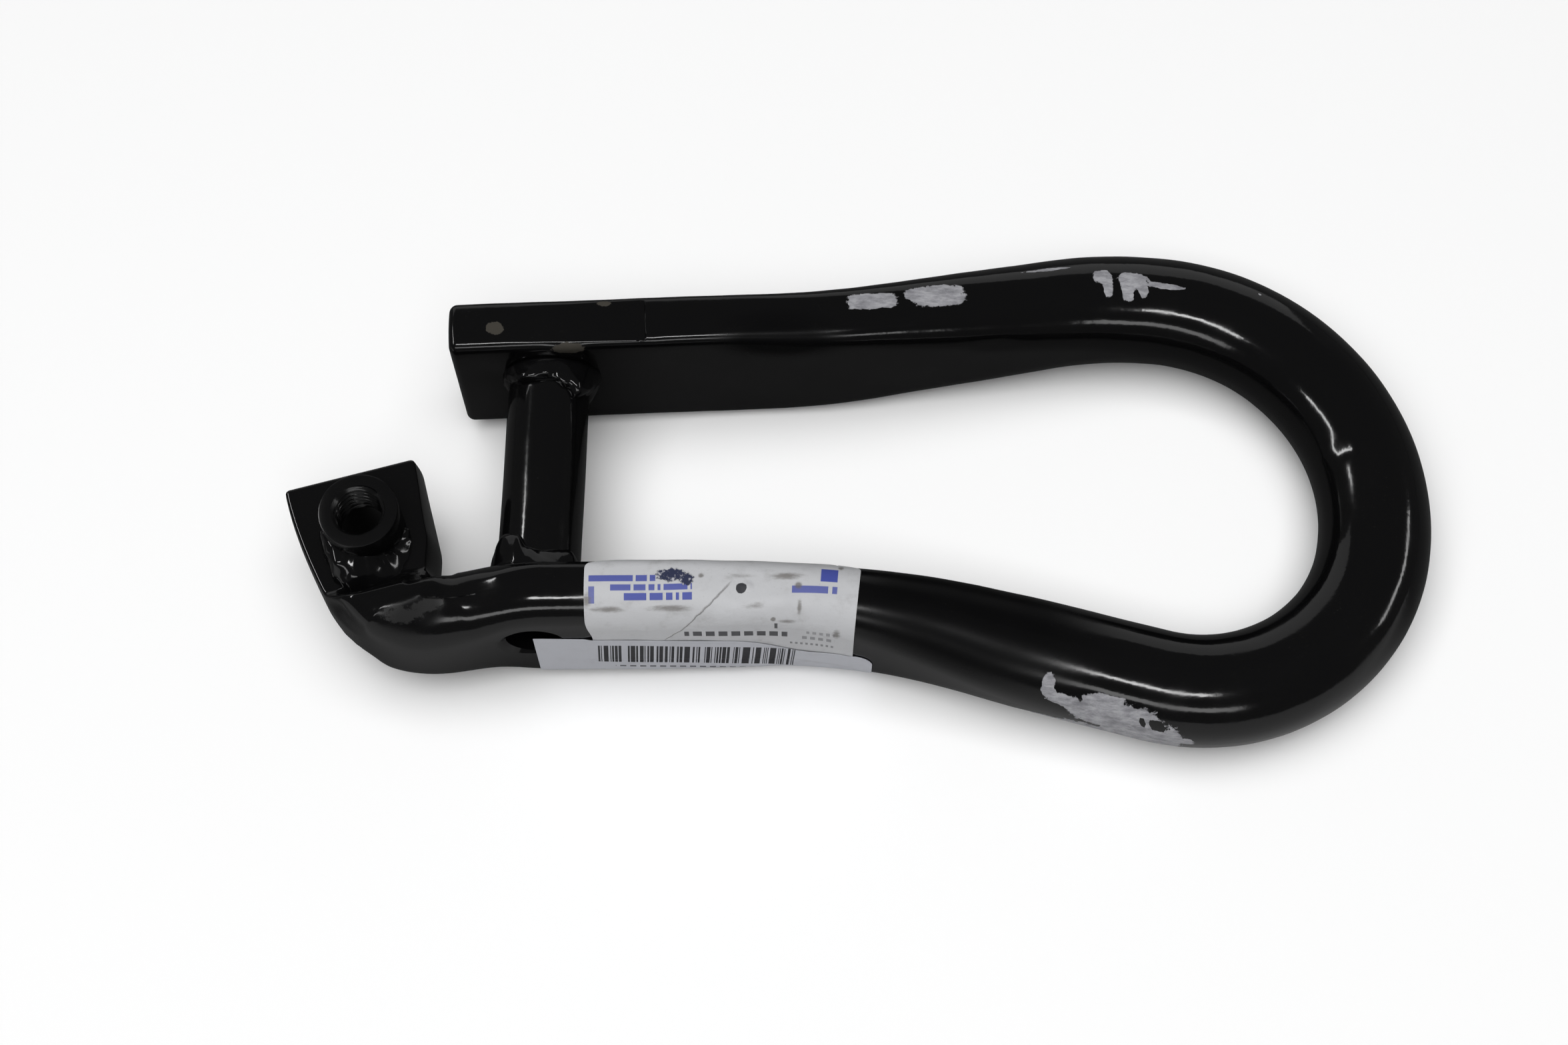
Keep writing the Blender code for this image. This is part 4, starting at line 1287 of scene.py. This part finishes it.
# Prints: rectangle (length from and to, distance from and to), pitch and share of its blocks, kind,
# strength, ink
part_prints = [
    ((28.6, 43.4, 24.1, 25.6), 0.62, 0.8, "chance", 0.9, print_blue),
    ((33.4, 51.4, 22.0, 23.4), 0.66, 0.8, "chance", 0.9, print_blue),
    ((36.4, 51.4, 19.6, 21.4), 0.72, 0.82, "chance", 0.95, print_blue),
    ((28.6, 29.9, 18.8, 23.0), 1.0, 1.0, "full", 0.8, print_blue),
    ((79.6, 83.3, 23.0, 26.6), 1.0, 1.0, "full", 0.95, print_blue),
    ((73.4, 83.4, 20.2, 21.9), 0.9, 0.8, "chance", 0.85, print_blue),
    ((49.4, 72.6, 6.4, 9.2), 2.85, 0.7, "even", 0.9, print_dark),
    ((69.6, 70.3, 11.0, 13.4), 1.0, 1.0, "full", 0.9, print_dark),
    ((77.0, 83.6, 9.0, 10.6), 1.6, 0.55, "even", 0.5, faint_grey),
    ((76.0, 83.6, 5.6, 7.4), 1.9, 0.6, "even", 0.6, faint_grey),
    ((73.0, 83.6, 2.2, 3.4), 1.2, 0.5, "even", 0.7, faint_grey),
]
# Marks: length, distance, radius along, radius round, strength
part_marks = {
    "dirt_and_shade": [
        (33.0, 17.2, 6.5, 1.5, 0.8),
        (46.3, 17.4, 8.0, 1.5, 0.75),
        (65.0, 17.8, 5.0, 1.3, 0.5),
        (72.0, 24.2, 6.5, 1.5, 0.75),
        (61.5, 24.6, 6.0, 1.2, 0.5),
        (84.0, 10.5, 1.6, 3.2, 0.8),
        (28.2, 19.6, 1.8, 3.2, 0.8),
        # Painted shade: the next four darken the paper along the blister's right rim and under it.
        (75.2, 17.2, 0.9, 2.8, 0.8),
        (74.8, 22.0, 1.4, 1.4, 1.0),
        (69.3, 14.6, 0.9, 0.8, 1.6),
        (72.6, 14.0, 3.4, 0.9, 0.7),
        (53.4, 25.2, 1.1, 1.0, 1.0),
        (83.8, 27.6, 1.0, 1.4, 1.0),
    ],
    "rub": [
        (46.8, 25.6, 5.6, 2.6, 1.0),
        (50.2, 24.4, 2.6, 2.2, 1.0),
    ],
    "hole": [
        (62.2, 21.7, 1.9, 1.9, 1.0),
    ],
}
part_label = make_part_label()
mark_label(part_label.data, part_marks)
dress(part_label, worn_paper("worn_paper", part_prints, paper_white), "part_label_paper", "part_label")


# Barcode label
# The real one is a second, cleaner label that was put on aslant over the first, along the rear of the outer
# flat. It has a row of plain dark bars of chance widths.
barcode_start = 15.4
barcode_length = 77.5
barcode_low = -17.4
barcode_left_top = 5.0
barcode_top_fall = 1.8
barcode_fall_length = 48.0
barcode_dip = 5.0
barcode_dip_span = (62.0, 80.0)
barcode_rise = 0.9
barcode_rise_span = (79.0, 88.0)
barcode_wave = 0.03
sheets_apart = 0.16
overlap_ease = 1.0
barcode_corner = 3.0
barcode_corner_reach = 2.99
barcode_slant = 0.055
barcode_steps = (200, 60)


def make_barcode_label():
    """The second label: from the rear corner up the outer flat, over the first label where they meet.

    Its top edge falls away, dips and rises again to the right. The height steps up smoothly over the first
    label's edges.
    """
    across, along = barcode_steps
    u = np.linspace(0.0, 1.0, across + 1)[None, :]
    v = np.linspace(0.0, 1.0, along + 1)[:, None]
    middle = barcode_start + barcode_length * u
    fallen = np.clip((middle - barcode_start) / barcode_fall_length, 0.0, 1.0)
    top = barcode_left_top - barcode_top_fall * fallen
    top = top - barcode_dip * rise(middle, *barcode_dip_span)
    top = top + barcode_rise * rise(middle, *barcode_rise_span)
    distance = barcode_low + (top - barcode_low) * v
    near = np.clip(distance - top + barcode_corner, 0.0, barcode_corner_reach)
    round_off = barcode_corner - np.sqrt(barcode_corner ** 2 - near ** 2)
    length = barcode_start + (barcode_length - round_off) * u
    left, right = part_label_start, part_label_start + part_label_length
    over = rise(length, left - overlap_ease, left + overlap_ease)
    over = over * (1.0 - rise(length, right - overlap_ease, right + overlap_ease))
    over = over * rise(distance, -part_label_below - overlap_ease, -part_label_below + overlap_ease)
    wave = barcode_wave * (1.0 + np.sin(length / 3.7 + distance / 5.0))
    height = label_lift + wave + (paper_thickness + sheets_apart) * over
    return paper("bar_label", length, distance, height)


def clean_paper(name, prints, colour):
    """The second label's paper: its prints stand aslant, as the label does."""
    nodes = Nodes(name)
    u, v = nodes.place()
    along = nodes.math("MULTIPLY_ADD", v, -barcode_slant, u)
    up = nodes.math("MULTIPLY_ADD", nodes.math("SUBTRACT", u, barcode_start), barcode_slant, v)
    shade = paper_ground(nodes, colour, 0.4)
    shade = printed(nodes, along, up, shade, prints)
    nodes.put(nodes.shader.inputs["Base Color"], shade)
    bump = nodes.bump(nodes.noise(paper_grain, 4.0), 0.015)
    nodes.put(nodes.shader.inputs["Normal"], nodes.bump(nodes.noise(6.0, 3.0), 0.15, bump))
    nodes.shader.inputs["Roughness"].default_value = 0.5
    return nodes.material


clean_white = (0.47, 0.48, 0.52, 1.0)
barcode_prints = [
    ((29.6, 74.6, -8.9, 2.3), 0.21, 0.57, "chance", 1.0, print_dark),
    ((33.5, 69.5, -11.8, -11.0), 2.3, 0.62, "even", 0.85, print_dark),
]
barcode_label = make_barcode_label()
barcode_paper = clean_paper("clean_paper", barcode_prints, clean_white)
dress(barcode_label, barcode_paper, "barcode_label_paper", "barcode_label")


# Studio
# The floor is pale and plain and keeps the hook's shadow. Away from the hook the camera sees it plain white.
# The gloss mirrors a darker floor, as in the photograph, where no white room shows in the black coat.
# Sizes are in metres.
floor_size = 8.0
floor_white = (0.98, 0.98, 0.98, 1.0)
floor_roughness = 0.9
floor_fade = (0.3, 1.2)
# Painted reflection: the gloss sees the floor darker than it is, and darker still inside the loop as a
# painted shadow of the hook.
mirrored_front = (0.42, 0.42, 0.42, 1.0)
mirrored_inside_shadow = (0.08, 0.08, 0.08, 1.0)
mirrored_shadow_span = (-0.07, -0.03)


def mixed_shader(nodes, share, first, second):
    """A shader between two."""
    node = nodes.tree.nodes.new("ShaderNodeMixShader")
    for socket, value in zip(node.inputs, (share, first, second)):
        nodes.put(socket, value)
    return node.outputs[0]


def pale_floor():
    """Matt white; darker in the gloss, darkest inside the loop as painted shadow; plain white to the camera
    away from the hook.
    """
    nodes = Nodes("pale_floor")
    nodes.put(nodes.shader.inputs["Base Color"], floor_white)
    nodes.shader.inputs["Roughness"].default_value = floor_roughness
    nodes.shader.inputs["Specular IOR Level"].default_value = 0.0
    path = nodes.tree.nodes.new("ShaderNodeLightPath")
    where = nodes.tree.nodes.new("ShaderNodeTexCoord")
    split = nodes.tree.nodes.new("ShaderNodeSeparateXYZ")
    nodes.put(split.inputs[0], where.outputs["Object"])
    # Painted shadow: the floor that the gloss sees darkens inside the loop.
    inside = nodes.step(split.outputs[1], *mirrored_shadow_span)
    mirrored = nodes.tree.nodes.new("ShaderNodeBsdfDiffuse")
    nodes.put(mirrored.inputs["Color"], nodes.blend(inside, mirrored_front, mirrored_inside_shadow))
    near = mixed_shader(nodes, path.outputs["Is Glossy Ray"], nodes.shader.outputs[0], mirrored.outputs[0])
    away = nodes.tree.nodes.new("ShaderNodeVectorMath")
    away.operation = "LENGTH"
    nodes.put(away.inputs[0], where.outputs["Object"])
    far = nodes.step(away.outputs["Value"], *floor_fade)
    seen = nodes.math("MULTIPLY", far, path.outputs["Is Camera Ray"])
    white = nodes.tree.nodes.new("ShaderNodeEmission")
    paled = mixed_shader(nodes, seen, near, white.outputs[0])
    nodes.put(nodes.tree.nodes["Material Output"].inputs["Surface"], paled)
    return nodes.material


def make_floor():
    """A plain square under the hook."""
    half = floor_size / 2.0
    corners = [(-half, -half, 0.0), (half, -half, 0.0), (half, half, 0.0), (-half, half, 0.0)]
    mesh = bpy.data.meshes.new("floor")
    mesh.from_pydata(corners, [], [(0, 1, 2, 3)])
    mesh.materials.append(pale_floor())
    floor = bpy.data.objects.new("floor", mesh)
    bpy.context.scene.collection.objects.link(floor)


make_floor()


# Lamps
# They are soft boxes round the hook. The wide one above lights all that is matt and isn't mirrored. The
# others only show in the gloss, and draw the thin lights along the edges.
# In the list: name, azimuth, elevation, distance, width, height, power, whether the gloss mirrors it
lamps = [
    ("top_box", 250.0, 80.0, 2.0, 2.2, 2.2, 52.0, False),
    ("front_high_box", -92.0, 61.0, 1.4, 0.76, 0.11, 4.2, True),
    ("front_low_box", -92.0, 30.0, 1.4, 1.3, 0.2, 2.4, True),
    ("left_box", 172.0, 44.0, 1.4, 0.9, 0.09, 3.6, True),
    ("right_box", 2.0, 24.0, 1.4, 0.7, 0.10, 1.2, True),
    ("back_box", 95.0, 20.0, 2.0, 3.2, 1.2, 5.0, True),
]
world_on_object = 0.07


def soft_box(name, azimuth, elevation, distance, width, height, power, mirrored):
    """A rectangular lamp that looks at the hook from a direction."""
    lamp = bpy.data.lights.new(name, "AREA")
    lamp.shape = "RECTANGLE"
    lamp.size = width
    lamp.size_y = height
    lamp.energy = power
    item = bpy.data.objects.new(name, lamp)
    turn, tilt = math.radians(azimuth), math.radians(elevation)
    way = Vector((math.cos(turn) * math.cos(tilt), math.sin(turn) * math.cos(tilt), math.sin(tilt)))
    item.location = way * distance
    item.rotation_euler = way.to_track_quat("Z", "Y").to_euler()
    item.visible_glossy = mirrored
    item.visible_diffuse = not mirrored
    bpy.context.scene.collection.objects.link(item)


def make_world():
    """A world that is plain white to the camera and dim on the hook."""
    world = bpy.data.worlds.new("studio")
    world.use_nodes = True
    tree = world.node_tree
    light = tree.nodes["Background"]
    light.inputs["Color"].default_value = (1.0, 1.0, 1.0, 1.0)
    path = tree.nodes.new("ShaderNodeLightPath")
    strength = tree.nodes.new("ShaderNodeMapRange")
    strength.inputs["To Min"].default_value = world_on_object
    strength.inputs["To Max"].default_value = 1.0
    tree.links.new(path.outputs["Is Camera Ray"], strength.inputs["Value"])
    tree.links.new(strength.outputs[0], light.inputs["Strength"])
    bpy.context.scene.world = world


for lamp in lamps:
    soft_box(*lamp)
make_world()


# Camera
# It stands in front of the lower leg and looks steeply down on the hook, as in the photograph. Its place
# is in metres, its lens and sensor in millimetres.
camera_place = (0.00008, -0.23357, 0.50670)
camera_turns = (25.058, 2.750, -1.502)
camera_data = bpy.data.cameras.new("photo_view")
camera_data.sensor_width = 36.0
camera_data.lens = 53.57
camera_data.clip_end = 20.0
camera = bpy.data.objects.new("photo_view", camera_data)
camera.location = camera_place
camera.rotation_euler = [math.radians(turn) for turn in camera_turns]
bpy.context.scene.collection.objects.link(camera)
bpy.context.scene.camera = camera
bpy.context.scene.view_settings.view_transform = "Standard"
